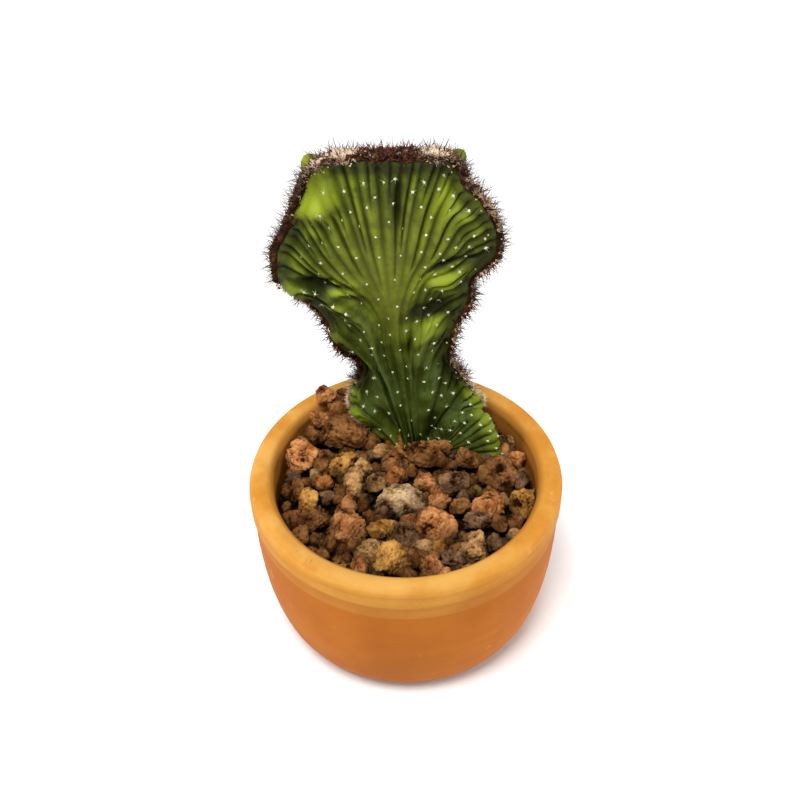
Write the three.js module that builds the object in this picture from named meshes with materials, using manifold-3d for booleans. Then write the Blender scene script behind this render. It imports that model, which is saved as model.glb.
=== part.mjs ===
import * as THREE from "three";
import { mergeVertices } from "three/addons/utils/BufferGeometryUtils.js";
import Module from "manifold-3d";

// A crested Peruvian apple cactus in a terracotta bowl, bedded in lava gravel.
// Sizes are millimetres, +Z is up and the origin is the middle of the pot's foot.
// The broad face of the crest looks towards -Y.

// Driving dimensions

const CLEARANCE = 0.3;

const POT = {
  height: 74.5,
  rimRadius: 60,
  rimWall: 9.5,
  collarHeight: 11,
  collarStep: 0.8,
  footRadius: 39.75,
  bowlPower: 2.45,
  bowlRoundness: 2.63,
  bodyWall: 8.8,
  floor: 8,
  drainRadius: 6,
  floorRadius: 36,
  segments: 44,
};
const POT_OUTSIDE_LEVELS = [0, 1, 3.2, 7, 13, 22, 34, 48];
const POT_INSIDE_LEVELS = [50, 30, 16];
const RIM_ANGLES = [0, 30, 60, 90, 120, 150, 180];

const SOIL = {
  top: 51.7,
  gap: 0.6,
  levels: [16.4, 30],
  segments: 32,
  holeRadius: [12, 10.2],
  holeBottom: 43.7,
};

const GRAVEL = {
  bottom: 52,
  bedTop: 58,
  stoneLevel: 60.5,
  segments: 44,
  gap: 0.5,
  fillStones: 52,
  plainStone: 29,
  smallest: 3.4,
  largest: 5.6,
  flatness: 0.38,
  crowding: 0.8,
  roughness: [0.8, 1.14],
  heapTop: 86,
  seed: 41,
  crestHole: {
    x: 4.5,
    y: 30.5,
    turn: 0,
    bottom: { z: 51, length: 12.5, width: 9.8, shift: 1 },
    top: { z: 75, length: 28, width: 10.6, shift: -0.5 },
  },
  lobeHole: {
    x: 12,
    y: 28.6,
    turn: -22,
    bottom: { z: 51, length: 16, width: 5.6, shift: 12 },
    top: { z: 75, length: 18, width: 5.8, shift: 13 },
  },
};

// The crest stands behind the middle of the pot. Its middle surface is the plane y = planeY.
const CREST = {
  planeY: 31,
  ribs: 80,
  rows: 16,
  relaxing: 60,
  rootX: 5.7,
  rootZ: 44,
  rootHalfWidth: 5.3,
  stemX: 4.6,
  stemZ: 60,
  stemLean: -0.15,
  bundle: [5, 7],
  leave: [0.6, 1],
  swell: 3.2,
  swellReach: 9,
  stemSwell: 1.6,
  stemTop: 105,
  stemFade: 40,
  reliefReach: 7,
  leanReach: 12,
  hub: { x: -3, z: 120, radius: 9, flattening: 0.75 },
};

// Furrows of each rank, from the oldest to the youngest. A rib splits in two where it grows wide.
const FURROWS = [
  { every: 16, depth: 2.3 },
  { every: 8, depth: 2.1 },
  { every: 4, depth: 1.9 },
  { every: 2, depth: 1.6 },
  { every: 1, depth: 1.3 },
];
const FURROW = { narrowest: 2.5, fullWidth: 4.1, halfWidth: 2.4, sharpness: 2.2 };

// The crest's margin from the left of its root, over the top, to the right of its root:
// x, z, lean towards the back, height at which the rib leaves the stem, half thickness.
const MARGIN = [
  [-3, 46, 0, 50, 3.6],
  [-7.5, 58.5, 0, 54.5, 3.6],
  [-14.8, 69, -2, 59, 3.6],
  [-20.8, 77.6, -3, 65, 3.6],
  [-22.6, 85, -2, 72, 3.6],
  [-20.8, 90.5, 0, 80, 3.8],
  [-17.9, 97, 1, 89.5, 4],
  [-18.4, 104.5, 0, 97.5, 4.2],
  [-23.5, 110.5, -4, 103, 4.2],
  [-27.6, 118.8, -5, 108.5, 4.4],
  [-29.5, 124.6, -3, 113.5, 4.6],
  [-34, 131, -2, 118, 4.6],
  [-40.2, 138.6, -5, 121.5, 4.6],
  [-45, 143.8, -5, 124, 4.6],
  [-46.3, 149, -2, 125.5, 4.8],
  [-45.2, 156, 0, 126.5, 5],
  [-41.5, 162.7, 1, 127, 5.2],
  [-38.6, 170.3, 0, 127.5, 5.2],
  [-35.6, 177.3, 1, 128, 5.2],
  [-33, 184, 2, 128, 5.2],
  [-28.5, 189.8, 3, 128, 5.2],
  [-19.5, 192.2, 1, 128, 5.4],
  [-10, 193.4, -1, 128, 5.6],
  [0, 193.2, -1, 128, 5.6],
  [9, 192.2, 1, 128, 5.6],
  [16.5, 191, 3, 128, 5.2],
  [21, 185, 4, 128, 5.2],
  [23.8, 179.6, 1, 128, 5.2],
  [28.8, 174.8, -1, 128, 5.2],
  [33.2, 166.8, 0, 127.5, 5],
  [35.6, 157, 1, 126.5, 4.8],
  [34.5, 149.7, 0, 125, 4.6],
  [30.3, 145.5, -1, 123, 4.4],
  [26.2, 140, 0, 120.5, 4.4],
  [26.3, 132.8, 1, 117.5, 4.4],
  [24.5, 127, 0, 113.5, 4.4],
  [21, 122, -2, 109, 4.2],
  [19.4, 113.5, -1, 103, 4.2],
  [18.9, 103, 1, 95.5, 4],
  [22, 96.5, 2, 88, 3.8],
  [25.6, 91, 1, 80, 3.6],
  [28, 86.8, 0, 73, 3.4],
  [31.6, 83.5, -1, 67, 3.2],
  [31, 79, -2, 62, 3.2],
  [25.5, 72.5, -2, 57.5, 3.4],
  [19.5, 64, -1, 53.5, 3.6],
  [14.5, 50, 0, 50, 3.6],
];

// Swellings and hollows of the front face: x, z, radius across, radius along, height, turn in degrees.
const FRONT_SWELLINGS = [
  [-31, 177, 6.5, 9, 2.4, 20],
  [28, 160, 7, 6, 1.8, 0],
  [-25, 142, 8, 2.6, 1.8, -8],
  [-28, 149, 9, 3, -2.2, -8],
  [11, 122, 9, 5, 3.6, 12],
  [4, 112, 3.5, 8, 2.6, 0],
  [15, 133.5, 8, 3.2, -3, -6],
  [14, 111, 5, 8, -2.6, 0],
  [19, 143, 7, 3.4, 1.8, 0],
  [-21, 113, 6, 4, -1.6, 35],
];

// The same for the back face.
const BACK_SWELLINGS = [
  [22, 172, 8, 9, 1.8, 0],
  [-26, 158, 9, 7, 1.6, 0],
  [-30, 185, 6, 5, 2, 0],
  [4, 130, 8, 9, 1.4, 0],
  [-14, 120, 6, 8, -1.8, 0],
  [10, 104, 5, 9, 1.6, 0],
];

// The brown wool and spines that grow along the margin, from one side of the waist to the other.
const WOOL = {
  from: 0.125,
  to: 0.855,
  fade: 0.03,
  thickness: 1.5,
  halfAngle: 62,
  rings: 4,
  spines: 330,
  spineLength: [2.4, 4],
  spineRadius: 0.34,
  root: 1,
  spread: 0.55,
  endGap: 0.004,
  sideGap: 8,
  jitter: 0.15,
  seed: 7,
};
const GOLDEN_SHARE = 0.618;

// A small second crest grows from the foot of the first and leans out over the gravel.
const LOBE = {
  x: 12,
  y: 29,
  turn: -22,
  ribs: 16,
  rows: 6,
  relaxing: 40,
  rootX: 0.5,
  rootZ: 52.5,
  rootHalfWidth: 4,
  stemX: 0.5,
  stemZ: 52.5,
  stemLean: 0.3,
  bundle: [4, 5],
  leave: [0.6, 1],
  halfThickness: 3,
  swell: 1.8,
  swellReach: 7,
  furrow: 1.1,
};
const LOBE_MARGIN = [
  [-6, 54, 0, 55, 3],
  [-5, 63, 0, 57, 3],
  [0, 75, 0, 62, 3],
  [8, 83.5, 0, 66, 3],
  [16.5, 84.5, 0, 66, 3],
  [21.5, 80, -0.5, 64, 3],
  [25.3, 73, -1, 61, 3],
  [27.8, 65.5, -1, 59, 3],
  [27.2, 59, -0.5, 57, 3],
  [21, 55.5, 0, 55, 3],
  [14, 54, 0, 54.5, 3],
  [7.5, 53.2, 0, 54, 3],
];

// The larger stones: x, y, z, width, depth. Some are heaped against the rim at the back left.
const STONES = [
  [-31, 34, 60.5, 20, 15],
  [-38, 25, 60.5, 13, 12],
  [-19, 41, 61, 14, 12],
  [-29, 33, 66, 25, 15],
  [-31, 37.5, 71.5, 14, 11],
  [-33.5, 40, 77.5, 10, 10],
  [-26.5, 41, 74, 9, 8],
  [-22, 39.5, 67.5, 12, 10],
  [-37, 30, 67.5, 11, 10],
  [-41, 23, 65.5, 8, 7],
  [-2, -5, 60.5, 19, 15],
  [-23, -16, 60.5, 18, 21],
  [38, 8, 60.5, 16, 15],
  [12, -18, 60.5, 15, 17],
  [10, 17, 60.5, 15, 11],
  [-41, 17, 61.5, 13, 13],
  [-25, 17, 60.5, 13, 11],
  [-6, -34, 60.5, 12, 13],
  [-5, 15, 60.5, 12, 10],
  [27, -18, 60.5, 12, 9],
  [25, -30, 60.5, 12, 13],
  [42, -6, 60.5, 11, 13],
  [31, -8, 60.5, 11, 11],
  [19, 4, 60.5, 11, 13],
  [-40, 0, 60.5, 11, 11],
  [-35, -13, 60.5, 11, 12],
  [-20, 4, 60.5, 9, 14],
  [9, 5, 60.5, 9, 12],
  [0, -23, 60.5, 10, 10],
  [-14, -31, 60.5, 10, 10],
  [17, -36, 60.5, 10, 8],
  [-33, 18, 60.5, 10, 11],
  [24, 15, 60.5, 10, 8],
  [-9, -19, 60.5, 9, 9],
  [-17, 12, 60.5, 9, 9],
  [8, -37, 60.5, 8, 9],
];

const COLOURS = {
  terracotta: 0xcf8838,
  soil: 0x3a2a20,
  lava: 0x8c5a40,
  cactus: 0x5d7a2c,
  wool: 0x5b3a2a,
};

// Numbers

const radians = (degrees) => (degrees * Math.PI) / 180;
const mix = (a, b, t) => a + (b - a) * t;

function smoothStep(t) {
  const u = Math.min(Math.max(t, 0), 1);
  return u * u * (3 - 2 * u);
}

// A repeatable source of numbers from 0 to 1.
function randomSource(seed) {
  let state = seed;
  return () => {
    state = (state + 0x6d2b79f5) | 0;
    let t = Math.imul(state ^ (state >>> 15), 1 | state);
    t = (t + Math.imul(t ^ (t >>> 7), 61 | t)) ^ t;
    return ((t ^ (t >>> 14)) >>> 0) / 4294967296;
  };
}

// The value of a smooth curve through all the rows of a list, at t from 0 to 1.
function splineAt(rows, t) {
  const last = rows.length - 1;
  const place = Math.min(Math.max(t, 0), 1) * last;
  const i = Math.min(Math.floor(place), last - 1);
  const f = place - i;
  const before = rows[Math.max(i - 1, 0)];
  const after = rows[Math.min(i + 2, last)];
  return rows[i].map((b, k) => {
    const c = rows[i + 1][k];
    const a = i > 0 ? before[k] : 2 * b - c;
    const d = i + 2 <= last ? after[k] : 2 * c - b;
    return b + 0.5 * f * (c - a + f * (2 * a - 5 * b + 4 * c - d + f * (3 * (b - c) + d - a)));
  });
}

// Solids

const wasm = await Module();
wasm.setup();

function solidOf(vertices, triangles) {
  return new wasm.Manifold(
    new wasm.Mesh({
      numProp: 3,
      vertProperties: new Float32Array(vertices.flat()),
      triVerts: new Uint32Array(triangles.flat()),
    }),
  );
}

function solidOfGeometry(geometry) {
  const plain = geometry.clone();
  plain.deleteAttribute("normal");
  plain.deleteAttribute("uv");
  const merged = mergeVertices(plain, 1e-4);
  return new wasm.Manifold(
    new wasm.Mesh({
      numProp: 3,
      vertProperties: new Float32Array(merged.attributes.position.array),
      triVerts: new Uint32Array(merged.index.array),
    }),
  );
}

function geometryOf(solid) {
  const mesh = solid.getMesh();
  const geometry = new THREE.BufferGeometry();
  geometry.setAttribute("position", new THREE.BufferAttribute(mesh.vertProperties, 3));
  geometry.setIndex(new THREE.BufferAttribute(mesh.triVerts, 1));
  geometry.computeVertexNormals();
  return geometry;
}

// The largest of a solid's separate bodies, which drops any loose scrap.
function mainBody(solid) {
  return solid.decompose().reduce((best, body) => (body.volume() > best.volume() ? body : best));
}

// A solid turned about the vertical axis from a closed outline of radius and height.
function turned(outline, segments) {
  const points = [...outline, outline[0]].map(([r, z]) => new THREE.Vector2(r, z));
  return new THREE.LatheGeometry(points, segments).rotateX(Math.PI / 2);
}

// A solid turned from an outline that starts and ends on the axis.
function turnedDisc(outline, segments) {
  const points = outline.map(([r, z]) => new THREE.Vector2(r, z));
  return new THREE.LatheGeometry(points, segments).rotateX(Math.PI / 2);
}

// Pot

function bowlRadius(z) {
  const shoulder = POT.height - POT.collarHeight;
  const top = POT.rimRadius - POT.collarStep;
  const rise = 1 - (1 - Math.min(z / shoulder, 1)) ** POT.bowlPower;
  return POT.footRadius + (top - POT.footRadius) * rise ** (1 / POT.bowlRoundness);
}

const innerRadius = (z) => Math.min(bowlRadius(z) - POT.bodyWall, POT.rimRadius - POT.rimWall);

function potGeometry() {
  const shoulder = POT.height - POT.collarHeight;
  const rimRound = POT.rimWall / 2;
  const outside = [...POT_OUTSIDE_LEVELS, shoulder].map((z) => [bowlRadius(z), z]);
  const rim = RIM_ANGLES.map((degrees) => [
    POT.rimRadius - rimRound + rimRound * Math.cos(radians(degrees)),
    POT.height - rimRound + rimRound * Math.sin(radians(degrees)),
  ]);
  const inside = POT_INSIDE_LEVELS.map((z) => [innerRadius(z), z]);
  return turned(
    [
      [POT.drainRadius, 0],
      ...outside,
      [POT.rimRadius, shoulder + POT.collarStep],
      ...rim,
      ...inside,
      [POT.floorRadius, POT.floor],
      [POT.drainRadius, POT.floor],
    ],
    POT.segments,
  );
}

// Crest

const CREST_COLUMNS = CREST.ribs * 2;
const RELAXING_SHARE = 0.9;

// The margin at t from 0 to 1, with the direction that points inwards from it.
function marginAt(margin, t) {
  const step = 0.012;
  const [x, z, lean, leave, half] = splineAt(margin, t);
  const ahead = splineAt(margin, t + step);
  const behind = splineAt(margin, t - step);
  const dx = ahead[0] - behind[0];
  const dz = ahead[1] - behind[1];
  const length = Math.hypot(dx, dz);
  return { x, z, lean, leave, half, inX: dz / length, inZ: -dx / length };
}

// A net of rib lines. Each starts in a row at the root and ends a half thickness inside the margin.
// The lines are then relaxed, so that neighbours share the width evenly and none cross.
function ribNet(shape, margin) {
  const columns = shape.ribs * 2;
  const net = Array.from({ length: shape.rows + 1 }, () => []);
  for (let j = 0; j <= columns; j++) {
    const edge = marginAt(margin, j / columns);
    const side = (2 * j) / columns - 1;
    const stemAt = (z) => shape.stemX + shape.stemLean * (z - shape.stemZ);
    const z1 = mix(shape.rootZ, edge.leave, shape.leave[0]);
    const z2 = mix(shape.rootZ, edge.leave, shape.leave[1]);
    const line = new THREE.CubicBezierCurve(
      new THREE.Vector2(shape.rootX + shape.rootHalfWidth * side, shape.rootZ),
      new THREE.Vector2(stemAt(z1) + shape.bundle[0] * side, z1),
      new THREE.Vector2(stemAt(z2) + shape.bundle[1] * side, z2),
      new THREE.Vector2(edge.x + edge.inX * edge.half, edge.z + edge.inZ * edge.half),
    );
    net.forEach((row, i) => {
      const point = line.getPoint(i / shape.rows);
      row.push([point.x, point.y]);
    });
  }
  for (let pass = 0; pass < shape.relaxing; pass++) relaxNet(net);
  return net;
}

// One pass of Winslow's smoothing of a net of points, with its border held.
function relaxNet(net) {
  const before = net.map((row) => row.map((point) => [...point]));
  for (let i = 1; i < net.length - 1; i++) {
    for (let j = 1; j < net[i].length - 1; j++) {
      const [west, east] = [before[i][j - 1], before[i][j + 1]];
      const [south, north] = [before[i - 1][j], before[i + 1][j]];
      const across = [0, 1].map((k) => (east[k] - west[k]) / 2);
      const along = [0, 1].map((k) => (north[k] - south[k]) / 2);
      const alpha = along[0] ** 2 + along[1] ** 2;
      const beta = across[0] * along[0] + across[1] * along[1];
      const gamma = across[0] ** 2 + across[1] ** 2;
      net[i][j] = [0, 1].map((k) => {
        const twist =
          (before[i + 1][j + 1][k] - before[i + 1][j - 1][k] - before[i - 1][j + 1][k] + before[i - 1][j - 1][k]) / 4;
        const even = alpha * (east[k] + west[k]) + gamma * (north[k] + south[k]) - 2 * beta * twist;
        return mix(before[i][j][k], even / (2 * (alpha + gamma)), RELAXING_SHARE);
      });
    }
  }
}

// The distance from a point to a line of points.
function distanceTo(line, x, z) {
  let nearest = Infinity;
  for (let j = 1; j < line.length; j++) {
    const [ax, az] = line[j - 1];
    const [dx, dz] = [line[j][0] - ax, line[j][1] - az];
    const t = Math.min(Math.max(((x - ax) * dx + (z - az) * dz) / (dx * dx + dz * dz), 0), 1);
    nearest = Math.min(nearest, Math.hypot(x - ax - t * dx, z - az - t * dz));
  }
  return nearest;
}

// How deep the furrows cut at a column, where one rib is ribWidth wide.
function furrowDepth(column, ribWidth) {
  let depth = 0;
  for (const { every, depth: full } of FURROWS) {
    const width = every * ribWidth;
    const grown = smoothStep((width - FURROW.narrowest) / (FURROW.fullWidth - FURROW.narrowest));
    const ribs = column / 2 / every;
    const away = Math.abs(ribs - Math.round(ribs)) * width;
    const reach = Math.min(width / 2, FURROW.halfWidth);
    const wall = Math.max(1 - away / reach, 0) ** FURROW.sharpness;
    depth = Math.max(depth, full * grown * wall);
  }
  return depth;
}

// The height of a list of swellings at x and z.
function swellingAt(swellings, x, z) {
  return swellings.reduce((sum, [cx, cz, across, along, height, turn]) => {
    const [c, s] = [Math.cos(radians(turn)), Math.sin(radians(turn))];
    const u = ((x - cx) * c + (z - cz) * s) / across;
    const v = ((z - cz) * c - (x - cx) * s) / along;
    return sum + height * Math.exp(-u * u - v * v);
  }, 0);
}

// The share of the margin's thickness that the wool takes, at t from 0 to 1.
function woolShare(t) {
  const rise = smoothStep((t - WOOL.from + WOOL.fade) / WOOL.fade);
  const fall = smoothStep((WOOL.to + WOOL.fade - t) / WOOL.fade);
  return rise * fall;
}

// The crest as rows of points, from the root up the front, over the margin and down the back.
function crestRows() {
  const net = ribNet(CREST, MARGIN);
  const inner = net[CREST.rows];
  const edges = inner.map((_, j) => marginAt(MARGIN, j / CREST_COLUMNS));
  const rounding = edges.map(
    (edge, j) => edge.half - woolShare(j / CREST_COLUMNS) * (WOOL.thickness + CLEARANCE),
  );

  function facePoint(i, j, side) {
    const [x, z] = net[i][j];
    const depth = distanceTo(inner, x, z);
    const k = net[i].length - 1;
    const before = net[i][Math.max(j - 1, 0)];
    const after = net[i][Math.min(j + 1, k)];
    const ribWidth = Math.hypot(after[0] - before[0], after[1] - before[1]);
    const hub = Math.exp(-(((x - CREST.hub.x) ** 2 + (z - CREST.hub.z) ** 2) / CREST.hub.radius ** 2));
    const relief = furrowDepth(j, ribWidth) * (1 - CREST.hub.flattening * hub);
    const stem = CREST.stemSwell * smoothStep((CREST.stemTop - z) / CREST.stemFade);
    const fullness = (CREST.swell + stem) * (1 - Math.exp(-((depth / CREST.swellReach) ** 2)));
    const inward = 1 - Math.exp(-((depth / CREST.reliefReach) ** 2));
    const swellings = side < 0 ? FRONT_SWELLINGS : BACK_SWELLINGS;
    const half = rounding[j] + fullness + inward * swellingAt(swellings, x, z) - relief;
    const lean = edges[j].lean * Math.exp(-((depth / CREST.leanReach) ** 2));
    return [x, CREST.planeY + lean + side * half, z];
  }

  function edgePoint(j, degrees, relief) {
    const [x, z] = inner[j];
    const edge = edges[j];
    const radius = rounding[j] - relief * furrowDepth(j, ribWidthAtMargin(inner, j));
    const out = radius * Math.cos(radians(degrees));
    const y = CREST.planeY + edge.lean + radius * Math.sin(radians(degrees));
    return [x - edge.inX * out, y, z - edge.inZ * out];
  }

  // Row of the net and how many columns lie between the points kept.
  const detail = [[0, 4], [3, 4], [6, 4], [8, 2], [10, 2], [12, 1], [14, 1], [16, 1]];
  // Angle across the margin, the same step, and how much of the ribs is left.
  const fold = [[74, 1, 0.6], [60, 2, 0], [30, 2, 0]];
  const columns = inner.map((_, j) => j);
  const face = (side) =>
    detail.map(([i, step]) => ({ step, points: columns.map((j) => facePoint(i, j, side)) }));
  const bend = (side) =>
    fold.map(([degrees, step, relief]) => ({
      step,
      points: columns.map((j) => edgePoint(j, side * degrees, relief)),
    }));
  return [
    ...face(-1),
    ...bend(-1),
    { step: 2, points: columns.map((j) => edgePoint(j, 0, 0)) },
    ...bend(1).reverse(),
    ...face(1).reverse(),
  ];
}

function ribWidthAtMargin(inner, j) {
  const before = inner[Math.max(j - 1, 0)];
  const after = inner[Math.min(j + 1, inner.length - 1)];
  return Math.hypot(after[0] - before[0], after[1] - before[1]);
}

// Joins rows of points into a closed solid. Each row keeps every step-th of its points, and a row
// may keep half or twice as many as its neighbour. The open bottom closes to one point.
function closedSheet(rows, bottom) {
  const vertices = [];
  const kept = rows.map(({ step, points }) =>
    points.filter((_, j) => j % step === 0).map((point) => vertices.push(point) - 1),
  );
  const triangles = kept.slice(1).flatMap((next, i) => stripBetween(kept[i], next));
  const centre = vertices.push(bottom) - 1;
  const first = kept[0];
  const last = kept[kept.length - 1];
  const loop = [
    ...first,
    ...kept.slice(1, -1).map((row) => row[row.length - 1]),
    ...last.slice().reverse(),
    ...kept.slice(1, -1).map((row) => row[0]).reverse(),
  ];
  loop.forEach((a, k) => triangles.push([loop[(k + 1) % loop.length], a, centre]));
  return solidOf(vertices, triangles);
}

// Triangles between two rows, of which one may have twice as many spans as the other.
function stripBetween(low, high) {
  const spans = Math.min(low.length, high.length) - 1;
  const a = (low.length - 1) / spans;
  const b = (high.length - 1) / spans;
  const triangles = [];
  for (let k = 0; k < spans; k++) {
    const [p, q] = [low[k * a], low[(k + 1) * a]];
    const [r, s] = [high[k * b], high[(k + 1) * b]];
    if (a === 2) {
      const m = low[k * 2 + 1];
      triangles.push([p, r, m], [m, r, s], [m, s, q]);
    } else if (b === 2) {
      const m = high[k * 2 + 1];
      triangles.push([p, r, m], [p, m, q], [q, m, s]);
    } else {
      triangles.push([p, r, q], [q, r, s]);
    }
  }
  return triangles.map(([x, y, z]) => [x, z, y]);
}

function crestSolid() {
  return closedSheet(crestRows(), [CREST.rootX, CREST.planeY, CREST.rootZ]);
}

// Small second crest

function lobeSolid() {
  const net = ribNet(LOBE, LOBE_MARGIN);
  const inner = net[LOBE.rows];
  const columns = inner.map((_, j) => j);
  const edges = columns.map((j) => marginAt(LOBE_MARGIN, j / (LOBE.ribs * 2)));
  const [c, s] = [Math.cos(radians(LOBE.turn)), Math.sin(radians(LOBE.turn))];
  const place = (u, v, z) => [LOBE.x + c * u - s * v, LOBE.y + s * u + c * v, z];
  const furrow = (j) => (j % 2 === 0 ? LOBE.furrow : 0);

  const face = (side) =>
    net.map((row, i) => ({
      step: 1,
      points: row.map(([u, z], j) => {
        const depth = distanceTo(inner, u, z);
        const swell = LOBE.swell * (1 - Math.exp(-((depth / LOBE.swellReach) ** 2)));
        const relief = furrow(j) * smoothStep(i / 3);
        return place(u, side * (LOBE.halfThickness + swell - relief) + edges[j].lean, z);
      }),
    }));
  const bend = (degrees) => ({
    step: 1,
    points: inner.map(([u, z], j) => {
      const radius = LOBE.halfThickness - furrow(j) * Math.cos(radians(degrees / 2));
      const out = radius * Math.cos(radians(degrees));
      const v = edges[j].lean + radius * Math.sin(radians(degrees));
      return place(u - edges[j].inX * out, v, z - edges[j].inZ * out);
    }),
  });
  const rows = [...face(-1), bend(-45), bend(0), bend(45), ...face(1).reverse()];
  return closedSheet(rows, place(LOBE.rootX, 0, LOBE.rootZ));
}

// Wool and spines of the margin

// A point of the rounded margin: column, angle across the margin and distance from the inner line.
function woolFrame() {
  const inner = ribNet(CREST, MARGIN)[CREST.rows];
  return (t, degrees, radius) => {
    const place = t * CREST_COLUMNS;
    const j = Math.min(Math.floor(place), CREST_COLUMNS - 1);
    const edge = marginAt(MARGIN, t);
    const x = mix(inner[j][0], inner[j + 1][0], place - j);
    const z = mix(inner[j][1], inner[j + 1][1], place - j);
    const out = Math.cos(radians(degrees));
    const side = Math.sin(radians(degrees));
    return {
      point: [x - edge.inX * out * radius, CREST.planeY + edge.lean + side * radius, z - edge.inZ * out * radius],
      normal: new THREE.Vector3(-edge.inX * out, side, -edge.inZ * out),
      half: edge.half,
    };
  };
}

// A three-sided spine with its root at a point and its tip along a direction.
function spineSolid(root, direction, length, radius) {
  const spine = new THREE.ConeGeometry(radius, length, 3, 1).translate(0, length / 2, 0);
  const turn = new THREE.Quaternion().setFromUnitVectors(new THREE.Vector3(0, 1, 0), direction);
  spine.applyQuaternion(turn).translate(...root);
  return solidOfGeometry(spine);
}

function woolSolid() {
  const frame = woolFrame();
  const first = Math.round((WOOL.from * CREST_COLUMNS) / 2) * 2;
  const last = Math.round((WOOL.to * CREST_COLUMNS) / 2) * 2;
  const angles = Array.from({ length: WOOL.rings + 1 }, (_, k) => WOOL.halfAngle * ((2 * k) / WOOL.rings - 1));
  const stations = [];
  for (let j = first; j <= last; j += 2) stations.push(j / CREST_COLUMNS);

  const vertices = [];
  const ring = (degrees, inset) =>
    stations.map((t) => {
      const half = frame(t, degrees, 0).half;
      return vertices.push(frame(t, degrees, half - inset).point) - 1;
    });
  const rows = [
    ...angles.map((degrees) => ring(degrees, 0)),
    ...angles.slice().reverse().map((degrees) => ring(degrees, WOOL.thickness)),
  ];
  const triangles = rows.flatMap((row, i) => stripBetween(row, rows[(i + 1) % rows.length]));
  const end = stations.length - 1;
  for (let k = 0; k < WOOL.rings; k++) {
    const [a, b] = [rows[k], rows[k + 1]];
    const [c, d] = [rows[rows.length - 1 - k], rows[rows.length - 2 - k]];
    triangles.push([a[0], b[0], c[0]], [c[0], b[0], d[0]]);
    triangles.push([b[end], a[end], c[end]], [b[end], c[end], d[end]]);
  }

  const random = randomSource(WOOL.seed);
  const spines = Array.from({ length: WOOL.spines }, (_, k) => {
    const t = mix(WOOL.from + WOOL.endGap, WOOL.to - WOOL.endGap, (k + random()) / WOOL.spines);
    const steepest = WOOL.halfAngle - WOOL.sideGap;
    const degrees = mix(-steepest, steepest, (k * GOLDEN_SHARE + WOOL.jitter * random()) % 1);
    const { normal, half } = frame(t, degrees, 0);
    const root = frame(t, degrees, half - WOOL.root).point;
    const jitter = new THREE.Vector3(random() - 0.5, random() - 0.5, random() - 0.5);
    const direction = normal.clone().addScaledVector(jitter, 2 * WOOL.spread).normalize();
    const length = mix(...WOOL.spineLength, random()) + WOOL.root;
    return spineSolid(root, direction, length, WOOL.spineRadius);
  });
  return mainBody(wasm.Manifold.union([solidOf(vertices, triangles), ...spines]));
}

// Gravel

// A hole that widens upwards, with the rounded oblong sections of the plant's foot.
function flaredHole({ x, y, turn, bottom, top }) {
  const height = top.z - bottom.z;
  const hole = new THREE.CylinderGeometry(1, 1, height, 24).rotateX(Math.PI / 2);
  const place = hole.attributes.position;
  for (let k = 0; k < place.count; k++) {
    const share = place.getZ(k) / height + 0.5;
    const square = (v) => Math.sign(v) * Math.abs(v) ** 0.7;
    const length = mix(bottom.length, top.length, share);
    const width = mix(bottom.width, top.width, share);
    place.setX(k, square(place.getX(k)) * length + mix(bottom.shift, top.shift, share));
    place.setY(k, square(place.getY(k)) * width);
  }
  hole.rotateZ(radians(turn)).translate(x, y, (top.z + bottom.z) / 2);
  return solidOfGeometry(hole);
}

const plantHole = () => flaredHole(GRAVEL.crestHole).add(flaredHole(GRAVEL.lobeHole));

// A rough stone: a faceted ball with its corners drawn in and out.
function stoneSolid([x, y, z], [width, depth, height], detail, random) {
  const ball = new THREE.IcosahedronGeometry(1, detail);
  ball.deleteAttribute("normal");
  ball.deleteAttribute("uv");
  const stone = mergeVertices(ball, 1e-4);
  const place = stone.attributes.position;
  for (let k = 0; k < place.count; k++) {
    const size = mix(...GRAVEL.roughness, random());
    place.setXYZ(k, place.getX(k) * size, place.getY(k) * size, place.getZ(k) * size);
  }
  stone.scale(width / 2, depth / 2, height / 2);
  stone.rotateZ(random() * Math.PI);
  return solidOfGeometry(stone.translate(x, y, z));
}

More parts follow.
